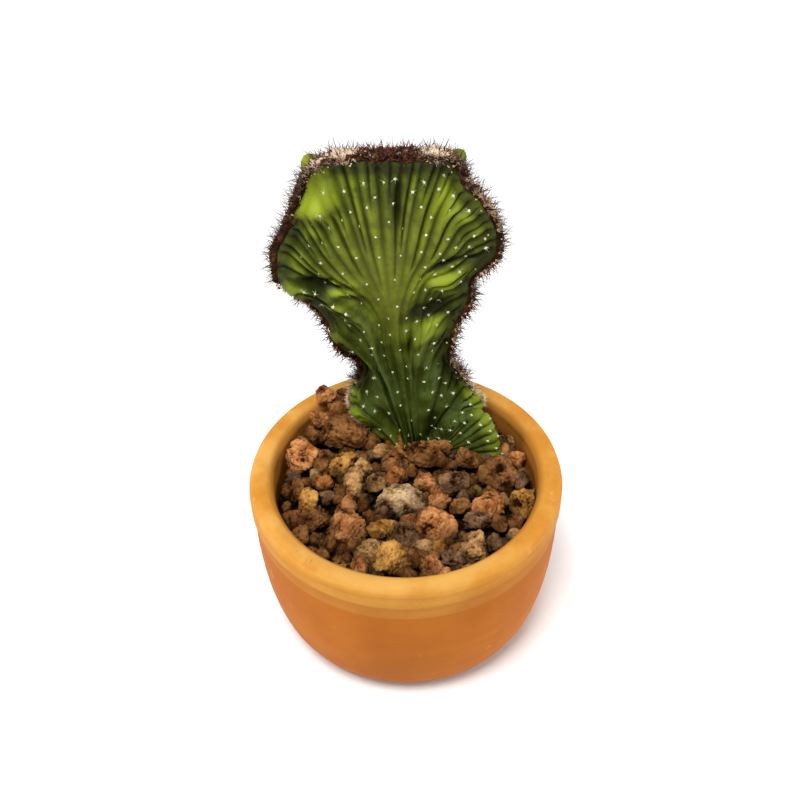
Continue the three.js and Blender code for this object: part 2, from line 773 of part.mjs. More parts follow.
function gravelSolid() {
  const random = randomSource(GRAVEL.seed);
  const wall = (z) => innerRadius(z) - GRAVEL.gap;
  const bed = solidOfGeometry(
    turnedDisc(
      [
        [0, GRAVEL.bottom],
        [wall(GRAVEL.bottom), GRAVEL.bottom],
        [wall(GRAVEL.bedTop), GRAVEL.bedTop],
        [0, GRAVEL.bedTop],
      ],
      GRAVEL.segments,
    ),
  );
  const shown = STONES.map(([x, y, z, width, depth]) => {
    const detail = width + depth > GRAVEL.plainStone ? 1 : 0;
    return stoneSolid([x, y, z], [width, depth, (width + depth) * GRAVEL.flatness], detail, random);
  });
  const places = STONES.map(([x, y, , width, depth]) => [x, y, (width + depth) / 4]);
  const fill = [];
  for (let tries = 0; fill.length < GRAVEL.fillStones && tries < 4000; tries++) {
    const radius = mix(GRAVEL.smallest, GRAVEL.largest, random());
    const far = Math.sqrt(random()) * (wall(GRAVEL.bedTop) - radius);
    const turn = random() * 2 * Math.PI;
    const [x, y] = [far * Math.cos(turn), far * Math.sin(turn)];
    const crowded = places.some(([px, py, r]) => Math.hypot(px - x, py - y) < (r + radius) * GRAVEL.crowding);
    if (crowded) continue;
    places.push([x, y, radius]);
    const size = [2 * radius, 2 * radius * mix(0.8, 1.1, random()), 2 * radius * mix(0.75, 1, random())];
    fill.push(stoneSolid([x, y, GRAVEL.stoneLevel - 0.8], size, 0, random));
  }
  const rimSide = POT.height - POT.rimWall / 2;
  const inside = solidOfGeometry(
    turnedDisc(
      [
        [0, GRAVEL.bottom],
        [wall(GRAVEL.bottom), GRAVEL.bottom],
        [wall(rimSide), rimSide],
        [wall(rimSide) + 1.4, rimSide + 3.4],
        [POT.rimRadius - POT.rimWall / 2, POT.height + GRAVEL.gap],
        [POT.rimRadius, GRAVEL.heapTop],
        [0, GRAVEL.heapTop],
      ],
      GRAVEL.segments,
    ),
  );
  const heap = wasm.Manifold.union([bed, ...shown, ...fill]);
  return mainBody(heap.intersect(inside).subtract(plantHole()));
}

// Soil

// The soil round a plain hole that the plant's root stands in.
function soilSolid() {
  const edge = (z) => [innerRadius(z) - SOIL.gap, z];
  const low = POT.floor + CLEARANCE;
  const outline = [
    [0, low],
    [POT.floorRadius - CLEARANCE, low],
    ...SOIL.levels.map(edge),
    edge(SOIL.top),
    [0, SOIL.top],
  ];
  const earth = solidOfGeometry(turnedDisc(outline, SOIL.segments));
  const depth = 2 * (SOIL.top - SOIL.holeBottom);
  const hole = new THREE.CylinderGeometry(1, 1, depth, 20).rotateX(Math.PI / 2);
  hole.scale(SOIL.holeRadius[0], SOIL.holeRadius[1], 1);
  hole.translate(CREST.rootX, CREST.planeY, SOIL.holeBottom + depth / 2);
  return mainBody(earth.subtract(solidOfGeometry(hole)));
}

// Assembly

const group = new THREE.Group();
group.name = "potted_crested_cactus";

function addPiece(name, geometry, color, roughness) {
  const mesh = new THREE.Mesh(geometry, new THREE.MeshStandardMaterial({ color, roughness, metalness: 0 }));
  mesh.name = name;
  group.add(mesh);
}

const cactus = mainBody(crestSolid().add(lobeSolid()));

addPiece("pot", potGeometry(), COLOURS.terracotta, 0.85);
addPiece("soil", geometryOf(soilSolid()), COLOURS.soil, 1);
addPiece("gravel", geometryOf(gravelSolid()), COLOURS.lava, 0.95);
addPiece("cactus", geometryOf(cactus), COLOURS.cactus, 0.6);
addPiece("wool_and_spines", geometryOf(woolSolid()), COLOURS.wool, 0.95);

export default group;
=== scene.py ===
"""A crested Peruvian apple cactus in a terracotta bowl, bedded in lava gravel.

Shapes are worked out in millimetres as numpy arrays and go into the meshes in metres.
"""

import math

import bpy
import numpy as np
from mathutils import Matrix, Vector


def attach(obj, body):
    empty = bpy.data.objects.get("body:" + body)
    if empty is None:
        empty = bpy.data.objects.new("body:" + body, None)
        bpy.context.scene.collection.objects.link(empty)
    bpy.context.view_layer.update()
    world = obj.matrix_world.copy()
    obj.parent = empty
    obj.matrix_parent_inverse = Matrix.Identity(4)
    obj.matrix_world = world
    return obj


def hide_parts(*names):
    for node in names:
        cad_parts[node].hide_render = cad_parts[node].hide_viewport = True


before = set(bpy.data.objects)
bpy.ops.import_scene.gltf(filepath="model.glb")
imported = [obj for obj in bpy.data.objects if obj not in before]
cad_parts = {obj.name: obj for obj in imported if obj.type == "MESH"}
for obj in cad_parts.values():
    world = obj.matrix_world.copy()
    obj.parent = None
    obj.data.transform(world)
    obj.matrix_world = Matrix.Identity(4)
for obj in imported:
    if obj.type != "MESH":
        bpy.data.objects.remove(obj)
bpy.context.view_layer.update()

MM = 0.001

# Numbers


def smooth(t):
    """0 below 0, 1 above 1, and the cubic 3t^2 - 2t^3 between."""
    u = np.clip(t, 0, 1)
    return u * u * (3 - 2 * u)


def mix(a, b, t):
    return a + (b - a) * t


def bell(off, reach):
    """1 where off is 0, and e^-1 where it is as far as the reach."""
    return np.exp(-((off / reach) ** 2))


def circle(count):
    """Angles evenly round a full turn."""
    return np.arange(count) * 2 * np.pi / count


def unit(ways):
    """The directions at length 1."""
    return ways / np.linalg.norm(ways, axis=-1, keepdims=True)


def square_to(ways):
    """Two unit directions square to each direction and to each other."""
    helper = np.where(np.abs(ways[:, 2:]) < 0.8, [[0.0, 0.0, 1.0]], [[1.0, 0.0, 0.0]])
    u = unit(np.cross(ways, helper))
    return u, np.cross(ways, u)


def around(ways, turn):
    """Directions square to each direction, at the angles round it."""
    u, v = square_to(ways)
    return u[:, None] * np.cos(turn)[..., None] + v[:, None] * np.sin(turn)[..., None]


def spline(rows, t):
    """The uniform Catmull-Rom curve through all the rows, at each t from 0 to 1, with its ends mirrored."""
    p = np.asarray(rows, float)
    p = np.concatenate([[2 * p[0] - p[1]], p, [2 * p[-1] - p[-2]]])
    place = np.clip(t, 0, 1) * (len(rows) - 1)
    i = np.minimum(place.astype(int), len(rows) - 2)
    f = (place - i).reshape((-1,) + (1,) * (p.ndim - 1))
    a, b, c, d = (p[i + k] for k in range(4))
    return b + 0.5 * f * (c - a + f * (2 * a - 5 * b + 4 * c - d + f * (3 * (b - c) + d - a)))


def waves(points, seed, sizes, count=10):
    """A rough field from -1 to 1: for each size, a sum of sines of the position along random directions."""
    rng = np.random.default_rng(seed)
    field = np.zeros(points.shape[:-1])
    for size, height in sizes:
        way = rng.normal(size=(count, 3))
        way *= 2 * np.pi / size / np.linalg.norm(way, axis=1, keepdims=True)
        phase = rng.uniform(0, 2 * np.pi, count)
        field += height * np.sin(points @ way.T + phase).sum(-1) / math.sqrt(count)
    return field


# Meshes


def grid_faces(rows, columns, close_rows=False, close_columns=False):
    """The four-sided faces of a grid of points kept row by row."""
    index = np.arange(rows * columns).reshape(rows, columns)
    if close_rows:
        index = np.concatenate([index, index[:1]])
    if close_columns:
        index = np.concatenate([index, index[:, :1]], axis=1)
    corners = [index[:-1, :-1], index[:-1, 1:], index[1:, 1:], index[1:, :-1]]
    return np.stack(corners, -1).reshape(-1, 4)


def fan(loop, centre):
    """Triangles from a closed loop of points to one point."""
    loop = np.asarray(loop)
    return np.stack([loop, np.roll(loop, -1), np.full(len(loop), centre)], -1)


def capped_faces(rings, turns):
    """The faces of a grid of rings, closed at each end by one point. Those two follow the grid's."""
    count = rings * turns
    ring = np.arange(turns)
    return [
        grid_faces(rings, turns, close_columns=True)[:, ::-1],
        np.concatenate([fan(ring, count), fan(ring[::-1] + turns * (rings - 1), count + 1)]),
    ]


def make_piece(name, points, faces, material, nodes, attributes=None):
    """A mesh object from points in millimetres and lists of faces, which stands for some of the CAD nodes."""
    counts = np.concatenate([np.full(len(f), f.shape[1]) for f in faces])
    corners = np.concatenate([f.reshape(-1) for f in faces])
    mesh = bpy.data.meshes.new(name)
    mesh.vertices.add(len(points))
    mesh.vertices.foreach_set("co", (np.asarray(points) * MM).astype(np.float32).reshape(-1))
    mesh.loops.add(len(corners))
    mesh.loops.foreach_set("vertex_index", corners.astype(np.int32))
    mesh.polygons.add(len(counts))
    mesh.polygons.foreach_set("loop_start", (np.cumsum(counts) - counts).astype(np.int32))
    mesh.update(calc_edges=True)
    mesh.polygons.foreach_set("use_smooth", np.full(len(counts), True))
    for key, values in (attributes or {}).items():
        layer = mesh.attributes.new(key, "FLOAT", "POINT")
        layer.data.foreach_set("value", np.asarray(values, np.float32).reshape(-1))
    mesh.materials.append(material)
    piece = bpy.data.objects.new(name, mesh)
    bpy.context.scene.collection.objects.link(piece)
    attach(piece, "root")
    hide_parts(*nodes)


def spindles(roots, tips, radius, sides=3):
    """Thin cones from each root to each tip, closed at the root. Returns points and faces."""
    ring = around(unit(tips - roots), circle(sides))
    base = roots[:, None] + ring * np.reshape(radius, (-1, 1, 1))
    points = np.concatenate([base, tips[:, None]], axis=1).reshape(-1, 3)
    start = np.arange(len(roots))[:, None, None] * (sides + 1)
    k = np.arange(sides)
    flank = np.stack([k, (k + 1) % sides, np.full(sides, sides)], -1)[None] + start
    bottom = (np.arange(sides)[::-1][None, None] + start).reshape(-1, sides)
    return points, [flank.reshape(-1, 3), bottom]


def joined(parts):
    """Several (points, list of face arrays) as one."""
    points, faces, first = [], {}, 0
    for p, fs in parts:
        points.append(p)
        for f in fs:
            faces.setdefault(f.shape[1], []).append(f + first)
        first += len(p)
    return np.concatenate(points), [np.concatenate(v) for v in faces.values()]


# Shaders


def srgb(r, g, b):
    """A colour in 0 to 255 as the eye reads it, in the linear values that a shader takes."""
    c = np.array([r, g, b]) / 255
    linear = np.where(c <= 0.04045, c / 12.92, ((c + 0.055) / 1.055) ** 2.4)
    return (*map(float, linear), 1.0)


class Value:
    """A socket of a material. Arithmetic on it adds Math nodes."""

    def __init__(self, finish, socket):
        self.finish = finish
        self.socket = socket

    def __add__(self, other):
        return self.finish.math("ADD", self, other)

    def __radd__(self, other):
        return self.finish.math("ADD", other, self)

    def __sub__(self, other):
        return self.finish.math("SUBTRACT", self, other)

    def __rsub__(self, other):
        return self.finish.math("SUBTRACT", other, self)

    def __mul__(self, other):
        return self.finish.math("MULTIPLY", self, other)

    def __rmul__(self, other):
        return self.finish.math("MULTIPLY", other, self)

    def __pow__(self, other):
        return self.finish.math("POWER", self, other)

    def clamp(self):
        return self.finish.math("ADD", self, 0.0, clamp=True)

    def above(self, low, high):
        """0 below low, 1 above high and smooth between."""
        settings = {"interpolation_type": "SMOOTHSTEP"}
        return self.finish.node("MapRange", settings, {0: self, 1: low, 2: high})


class Finish:
    """A material with one Principled shader, whose other nodes come from node()."""

    def __init__(self, name, **constants):
        self.material = bpy.data.materials.new(name)
        self.material.use_nodes = True
        self.tree = self.material.node_tree
        self.shader = self.tree.nodes["Principled BSDF"]
        for key, value in constants.items():
            self.shader.inputs[key.replace("_", " ")].default_value = value

    def put(self, socket, value):
        if isinstance(value, Value):
            self.tree.links.new(value.socket, socket)
        else:
            socket.default_value = value

    def node(self, kind, settings=None, inputs=None, output=0):
        made = self.tree.nodes.new("ShaderNode" + kind)
        for key, value in (settings or {}).items():
            setattr(made, key, value)
        for key, value in (inputs or {}).items():
            self.put(made.inputs[key], value)
        return Value(self, made.outputs[output])

    def math(self, operation, a, b, clamp=False):
        return self.node("Math", {"operation": operation, "use_clamp": clamp}, {0: a, 1: b})

    def colour(self, factor, a, b):
        settings = {"data_type": "RGBA", "clamp_factor": True}
        return self.node("Mix", settings, {0: factor, 6: a, 7: b}, output=2)

    def place(self):
        return self.node("TexCoord", output="Object")

    def attribute(self, name):
        return self.node("Attribute", {"attribute_name": name}, output="Fac")

    def split(self, vector):
        made = self.tree.nodes.new("ShaderNodeSeparateXYZ")
        self.put(made.inputs[0], vector)
        return [Value(self, made.outputs[k]) for k in range(3)]

    def stretched(self, vector, scale):
        settings = {"operation": "MULTIPLY"}
        return self.node("VectorMath", settings, {0: vector, 1: scale})

    def noise(self, vector, scale, detail=3.0, roughness=0.55, distortion=0.0):
        inputs = {"Vector": vector, "Scale": scale, "Detail": detail}
        inputs.update({"Roughness": roughness, "Distortion": distortion})
        return self.node("TexNoise", None, inputs)

    def cells(self, vector, scale):
        return self.node("TexVoronoi", None, {"Vector": vector, "Scale": scale})

    def bump(self, height, strength, distance, under=None):
        inputs = {"Height": height, "Strength": strength, "Distance": distance}
        if under is not None:
            inputs["Normal"] = under
        return self.node("Bump", None, inputs)

    def wear(self, **sockets):
        """Sets or links sockets of the shader."""
        for key, value in sockets.items():
            self.put(self.shader.inputs[key.replace("_", " ")], value)
        return self.material


# The pot

POT_HEIGHT = 74.5
RIM_RADIUS = 60.0
RIM_WALL = 9.5
COLLAR_HEIGHT = 11.0
COLLAR_STEP = 0.8
FOOT_RADIUS = 39.75
BODY_WALL = 8.8
POT_FLOOR = 8.0
DRAIN_RADIUS = 6.0
POT_TURNS = 256


def bowl_radius(z):
    """The bowl's outer radius: it rises from the foot to the shoulder as a rounded power curve."""
    top = RIM_RADIUS - COLLAR_STEP
    rise = 1 - (1 - np.minimum(z / (POT_HEIGHT - COLLAR_HEIGHT), 1)) ** 2.45
    return FOOT_RADIUS + (top - FOOT_RADIUS) * rise ** (1 / 2.63)


def inner_radius(z):
    return np.minimum(bowl_radius(z) - BODY_WALL, RIM_RADIUS - RIM_WALL)


def pot_profile():
    """Radius and height round the wall: drain, foot, bowl, collar, rounded rim, inside, floor."""
    shoulder = POT_HEIGHT - COLLAR_HEIGHT
    rounding = RIM_WALL / 2
    foot = np.linspace(DRAIN_RADIUS, FOOT_RADIUS - 1.2, 6)
    z = shoulder * np.linspace(0, 1, 56) ** 1.5
    outside = np.stack([bowl_radius(z), z], -1)
    outside[0] = [FOOT_RADIUS - 0.4, 0]
    s = np.linspace(0, 1, 8)
    step = np.stack([mix(RIM_RADIUS - COLLAR_STEP, RIM_RADIUS, smooth(s)), shoulder + 1.6 * s], -1)
    wall = np.linspace(shoulder + 2.4, POT_HEIGHT - rounding, 6, endpoint=False)
    collar = np.stack([np.full(6, RIM_RADIUS), wall], -1)
    turn = np.radians(np.linspace(0, 180, 30))
    rim = np.stack(
        [RIM_RADIUS - rounding + rounding * np.cos(turn), POT_HEIGHT - rounding + rounding * np.sin(turn)], -1
    )
    z = np.linspace(POT_HEIGHT - rounding - 1, 16, 26)
    inside = np.stack([inner_radius(z), z], -1)
    floor = [[38.5, 10.5], [36, POT_FLOOR], [DRAIN_RADIUS, POT_FLOOR]]
    foot = np.stack([foot, np.zeros(6)], -1)
    return np.concatenate([foot, outside, step[1:], collar, rim, inside, floor])


def make_pot(material):
    """The profile turned about the vertical axis, with a low step high on the body and two trains of
    waves up the outside, as turning leaves them in clay."""
    profile = pot_profile()
    turn = circle(POT_TURNS)
    r = profile[:, :1] + 0 * turn
    z = profile[:, 1:] + 0 * turn
    outer = smooth((r - 30) / 20) * smooth((z - 2) / 12)
    step = 0.14 * smooth((z - 58.4) / 1.2)
    ring = step + 0.06 * np.sin(z * 2.1 + 0.6 * np.sin(turn))
    ring = ring + 0.05 * np.sin(z * 5.3 + 2 + 0.4 * np.cos(2 * turn))
    r = r + outer * np.minimum(ring, RIM_RADIUS - r)
    points = np.stack([r * np.cos(turn), r * np.sin(turn), z], -1).reshape(-1, 3)
    faces = grid_faces(len(profile), POT_TURNS, close_rows=True, close_columns=True)
    make_piece("terracotta_pot", points, [faces], material, ["pot"])


# The crest's net of rib lines

PLANE_Y = 31.0
CREST = dict(
    ribs=96,
    uneven=0.2,
    rows=20,
    relaxing=150,
    root=(5.7, 44.0, 5.3),
    stem=(4.6, 60.0, -0.15),
    bundle=(7.0, 9.0),
)
SECOND = dict(
    ribs=18,
    uneven=0.35,
    rows=6,
    relaxing=40,
    root=(0.5, 52.5, 4.0),
    stem=(0.5, 52.5, 0.3),
    bundle=(4.0, 5.0),
)

# The margin from the left of the root, over the top, to the right of the root: x, z, lean towards
# the back, height at which the rib leaves the stem, half thickness.
MARGIN = [
    (-3, 46, 0, 50, 3.6),
    (-7.5, 58.5, 0, 54.5, 3.6),
    (-14.8, 69, -2, 59, 3.6),
    (-20.8, 77.6, -3, 65, 3.6),
    (-22.6, 85, -2, 72, 3.6),
    (-20.8, 90.5, 0, 80, 3.8),
    (-17.9, 97, 1, 89.5, 4),
    (-18.4, 104.5, 0, 97.5, 4.2),
    (-23.5, 110.5, -4, 103, 4.2),
    (-27.6, 118.8, -5, 108.5, 4.4),
    (-29.5, 124.6, -3, 113.5, 4.6),
    (-34, 131, -2, 118, 4.6),
    (-40.2, 138.6, -5, 121.5, 4.6),
    (-45, 143.8, -5, 124, 4.6),
    (-46.3, 149, -2, 125.5, 4.8),
    (-45.2, 156, 0, 126.5, 5),
    (-41.5, 162.7, 1, 127, 5.2),
    (-38.6, 170.3, 0, 127.5, 5.2),
    (-35.6, 177.3, 1, 128, 5.2),
    (-33.2, 183, 2, 128, 5.2),
    (-28.3, 188.4, 3, 128, 5.2),
    (-19.8, 191.8, 1, 128, 5.4),
    (-10, 193.4, -1, 128, 5.6),
    (0, 193.2, -1, 128, 5.6),
    (8.8, 192.2, 1, 128, 5.6),
    (16.4, 190, 3, 128, 5.2),
    (21.2, 184.8, 4, 128, 5.2),
    (23.8, 179.6, 1, 128, 5.2),
    (28.8, 174.8, -1, 128, 5.2),
    (33.2, 166.8, 0, 127.5, 5),
    (35.6, 157, 1, 126.5, 4.8),
    (34.5, 149.7, 0, 125, 4.6),
    (30.3, 145.5, -1, 123, 4.4),
    (26.2, 140, 0, 120.5, 4.4),
    (26.3, 132.8, 1, 117.5, 4.4),
    (24.5, 127, 0, 113.5, 4.4),
    (21, 122, -2, 109, 4.2),
    (19.4, 113.5, -1, 103, 4.2),
    (18.9, 103, 1, 95.5, 4),
    (22, 96.5, 2, 88, 3.8),
    (25.6, 91, 1, 80, 3.6),
    (28, 86.8, 0, 73, 3.4),
    (31.6, 83.5, -1, 67, 3.2),
    (31, 79, -2, 62, 3.2),
    (25.5, 72.5, -2, 57.5, 3.4),
    (19.5, 64, -1, 53.5, 3.6),
    (14.5, 50, 0, 50, 3.6),
]
SECOND_MARGIN = [
    (-6, 54, 0, 55, 3),
    (-4.5, 61, 0, 57, 3),
    (2, 70, 0, 60, 3),
    (9, 78, 0, 64, 3),
    (16, 83.5, 0, 66, 3),
    (21, 84, -0.5, 66, 3),
    (24.5, 79, -1, 64, 3),
    (27, 72.5, -1, 62, 3),
    (28.5, 65, -0.5, 59, 3),
    (27.4, 58.8, 0, 57, 3),
    (21, 55.5, 0, 55, 3),
    (14, 54, 0, 54.5, 3),
    (7.5, 53.2, 0, 54, 3),
]

# Swellings and hollows of a face: x, z, radius across, radius along, height, turn in degrees.
FRONT_SWELLINGS = [
    (-31.5, 181.5, 8, 7.5, 3.4, 15),
    (-29, 173, 8, 4.6, 2.2, 20),
    (18, 178, 6, 8, 1.6, -40),
    (30, 163, 5, 5, 1.6, 0),
    (-24, 143, 6, 1.5, 3.0, -4),
    (-24, 138.6, 6.5, 1.5, 3.0, -2),
    (-25.5, 134.4, 6, 1.5, 1.6, 2),
    (-32.5, 138.5, 5.5, 4.8, -5.0, 6),
    (-43.5, 139.5, 3.5, 4, 1.6, 20),
    (12, 118.5, 10, 4.8, 4.8, 8),
    (6, 109, 3.2, 7, 2.6, -14),
    (17, 106, 5.5, 8, -3.6, 0),
    (13.5, 129, 9.5, 3.8, -5.2, 4),
    (16, 142, 8.5, 3.8, 2.6, 4),
    (-15, 127.7, 2.4, 2.8, -1.0, 0),
    (-22, 114, 5, 4, -1.6, 35),
    (-8, 106, 5, 8, 1.0, 0),
    (-3, 140, 7, 12, 1.0, 0),
    (-1.5, 178, 2.4, 12, -2.4, 0),
]
BACK_SWELLINGS = [
    (22, 172, 8, 9, 1.8, 0),
    (-26, 158, 9, 7, 1.6, 0),
    (-30, 185, 6, 5, 2, 0),
    (4, 130, 8, 9, 1.4, 0),
    (-14, 120, 6, 8, -1.8, 0),
    (10, 104, 5, 9, 1.6, 0),
]
# Folds of a face, each along an arc: x and z of its start, x and z of its end, how far the arc rises
# over its chord, how much its right side stands out, how much its left side sinks in, their reach.
FRONT_FOLDS = [
    (3.0, 104, 21, 126, 8.0, 3.4, 3.2, 3.4),
    (-17, 143, -42, 145, -1.2, 1.0, 4.4, 4.0),
    (-30, 126, -14, 130, 1.4, 0.6, 0.8, 2.2),
    (8, 146, 30, 149, 2.6, 1.0, 4.2, 1.5),
]
BACK_FOLDS = [
    (-24, 128, -4, 118, 4.0, 1.6, 2.0, 3.0),
    (8, 140, 27, 147, 2.5, 1.2, 2.0, 2.6),
    (-36, 150, -18, 148, 2.0, 1.0, 1.6, 2.2),
    (6, 118, 19, 127, 3.0, 1.6, 2.0, 2.8),
]
# Where the skin is young and yellow, with painted light on slopes that face the lamp, and painted shade in
# hollows and creases where the strength is below 0: x, z, radius across, radius along, strength, turn in
# degrees.
FRONT_YOUTH_AND_LIGHT = [
    (-36, 182, 9.5, 8.5, 0.9, 20),
    (-31, 173.5, 9, 4.6, 0.7, 25),
    (-27.5, 178.5, 2.0, 5, -0.35, 25),
    (18, 178, 4.5, 9, 0.9, -40),
    (25, 171, 3, 6, 0.7, -50),
    (29, 163, 3.6, 2.4, 0.7, 0),
    (-24, 143.6, 6.5, 1.1, 1.0, -4),
    (-24, 141.2, 7, 0.9, -0.8, -3),
    (-24, 139.2, 6.5, 1.1, 0.95, -2),
    (-25, 136.8, 7, 0.9, -0.8, 0),
    (-25, 134.8, 6.5, 1.1, 0.4, 0),
    (-32.5, 138.0, 5.5, 5.5, -1.0, 6),
    (-43, 140.5, 3.5, 3.5, 0.5, 20),
    (-29, 124, 5, 7, -0.4, -30),
    (-20, 119, 8, 9, -0.3, -20),
    (-23.5, 116, 2.6, 3.2, -0.8, 0),
    (-31, 164, 4, 1.6, 0.6, -20),
    (-40, 153, 5, 2.0, 0.5, -10),
    (15.5, 144, 8, 2.0, 1.0, 4),
    (17, 140, 8, 1.0, 0.4, 4),
    (13, 130, 9, 3.8, -0.9, 4),
    (11.5, 124, 8.5, 2.0, 0.8, 10),
    (11.5, 120, 8, 1.6, 0.5, 14),
    (18, 107, 5, 8, -0.6, 0),
    (-2, 66, 4, 6, 0.5, 20),
]
BACK_YOUTH = [
    (22, 172, 6, 8, 0.8, 0),
    (-28, 160, 6, 6, 0.7, 0),
    (-4, 180, 9, 6, 0.6, 0),
    (8, 122, 7, 3, 0.6, 0),
]

# The ribs gather at the waist of the fan: x, z, reach across, reach along, share they draw in.
WAIST = (-3.5, 126.0, 20.0, 16.0, 0.6)
# Pushes within the plane of a face, which bend the ribs: x, z, reach, shift in x, shift in z.
WARPS = [
    (14, 124, 11, 0, 7.0),
    (12, 137, 10, -1.0, 7.0),
    (12, 106, 9, 0, 4.0),
    (22, 162, 15, -1.5, 5.5),
    (-18, 128, 11, 0, 5.0),
    (-14, 84, 9, -2.0, 0),
]

# Where along the margin the wool begins and ends, the share over which it fades, its thickness.
WOOL_FROM = 0.125
WOOL_TO = 0.855
WOOL_FADE = 0.03
WOOL_THICKNESS = 1.8
# The bare knobs behind the wool: their places along the margin, their spread along it, how high
# they stand, and how far in from the margin they reach.
CORNERS = (0.424, 0.559)
CORNER_SPREAD = 0.013
CORNER_HEIGHT = 5.0
CORNER_REACH = 5.0


def margin_at(margin, t):
    """The margin's five values at t, with the unit direction that points inwards, square to its run."""
    rows = spline(margin, t)
    run = unit(spline(margin, t + 0.012)[:, :2] - spline(margin, t - 0.012)[:, :2])
    inward = np.stack([run[:, 1], -run[:, 0]], -1)
    return rows, inward


def rib_ends(shape, margin):
    """Where the rib lines and the lines half way between them end along the margin: steps of nearly
    even length, each rib wider or narrower by a random share."""
    fine = np.linspace(0, 1, 1601)
    rows, inward = margin_at(margin, fine)
    line = rows[:, :2] + inward * rows[:, 4:]
    step = np.linalg.norm(np.diff(line, axis=0), axis=1)
    blur = np.ones(61) / 61
    step = np.convolve(np.pad(step, 30, mode="edge"), blur, "valid")
    length = np.concatenate([[0], np.cumsum(step)])
    ribs = shape["ribs"]
    width = np.random.default_rng(3).uniform(1 - shape["uneven"], 1 + shape["uneven"], ribs)
    place = np.concatenate([[0], np.cumsum(width)]) / width.sum()
    place = np.interp(np.arange(2 * ribs + 1) / 2, np.arange(ribs + 1), place)
    return np.interp(place * length[-1], length, fine)


def rib_net(shape, margin):
    """Rib lines from the root to the inside of the margin, then relaxed. Returns them and their ends.

    Line j is a cubic curve whose middle points lie in the stem, at six tenths of and at the height
    where the rib leaves it. Winslow's smoothing then moves each inner point towards where both
    families of lines are evenly spread, which leaves no crossing.
    """
    t = rib_ends(shape, margin)
    rows, inward = margin_at(margin, t)
    side = np.linspace(-1, 1, len(t))
    x0, z0, half = shape["root"]
    stem_x, stem_z, stem_lean = shape["stem"]
    z1 = mix(z0, rows[:, 3], 0.6)
    z2 = rows[:, 3]
    knots = [
        np.stack([x0 + half * side, z0 + 0 * t], -1),
        np.stack([stem_x + stem_lean * (z1 - stem_z) + shape["bundle"][0] * side, z1], -1),
        np.stack([stem_x + stem_lean * (z2 - stem_z) + shape["bundle"][1] * side, z2], -1),
        rows[:, :2] + inward * rows[:, 4:],
    ]
    s = np.linspace(0, 1, shape["rows"] + 1)[:, None, None]
    weights = [(1 - s) ** 3, 3 * s * (1 - s) ** 2, 3 * s * s * (1 - s), s**3]
    net = sum(w * k for w, k in zip(weights, knots))
    for _ in range(shape["relaxing"]):
        across = (net[1:-1, 2:] - net[1:-1, :-2]) / 2
        along = (net[2:, 1:-1] - net[:-2, 1:-1]) / 2
        alpha = (along**2).sum(-1, keepdims=True)
        beta = (across * along).sum(-1, keepdims=True)
        gamma = (across**2).sum(-1, keepdims=True)
        twist = (net[2:, 2:] - net[2:, :-2] - net[:-2, 2:] + net[:-2, :-2]) / 4
        even = alpha * (net[1:-1, 2:] + net[1:-1, :-2]) + gamma * (net[2:, 1:-1] + net[:-2, 1:-1])
        even = (even - 2 * beta * twist) / (2 * (alpha + gamma))
        net = net.copy()
        net[1:-1, 1:-1] = mix(net[1:-1, 1:-1], even, 0.9)
    return net, t


def finer(net, rows, columns):
    """The net on a finer grid, by splines along both families of lines, at the given places."""
    dense = spline(net, rows)
    return spline(dense.transpose(1, 0, 2), columns).transpose(1, 0, 2)


def distance_to(line, points):
    """The distance from each point to a line of points."""
    flat = points.reshape(-1, 2)
    nearest = np.full(len(flat), np.inf)
    for a, b in zip(line[:-1], line[1:]):
        run = b - a
        t = np.clip((flat - a) @ run / (run @ run), 0, 1)
        nearest = np.minimum(nearest, np.linalg.norm(flat - a - t[:, None] * run, axis=1))
    return nearest.reshape(points.shape[:-1])


def swelling_at(swellings, x, z):
    """The sum of bell-shaped swellings."""
    total = 0 * x
    for cx, cz, across, along, height, turn in swellings:
        c, s = math.cos(math.radians(turn)), math.sin(math.radians(turn))
        u = ((x - cx) * c + (z - cz) * s) / across
        v = ((z - cz) * c - (x - cx) * s) / along
        total = total + height * np.exp(-u * u - v * v)
    return total


def folds_at(folds, x, z):
    """Steps along arcs: the right side stands out and the left side sinks in, both less with distance."""
    total = 0 * x
    for x0, z0, x1, z1, sag, rise, drop, reach in folds:
        run = np.array([x1 - x0, z1 - z0], float)
        long = np.linalg.norm(run)
        run /= long
        u = ((x - x0) * run[0] + (z - z0) * run[1]) / long
        v = (z - z0) * run[0] - (x - x0) * run[1]
        off = v - 4 * sag * u * (1 - u)
        ends = smooth((u + 0.05) / 0.3) * smooth((1.05 - u) / 0.3)
        over = smooth(off / 1.5 + 0.5)
        total = total + ends * np.exp(-np.abs(off) / reach) * mix(rise, -drop, over)
    return total


# Furrows, oldest first: how many ribs lie between two of them, and their depth.
FURROWS = [(16, 2.6), (8, 2.4), (4, 2.3), (2, 2.2), (1, 2.0)]
FURROW_START = 1.9


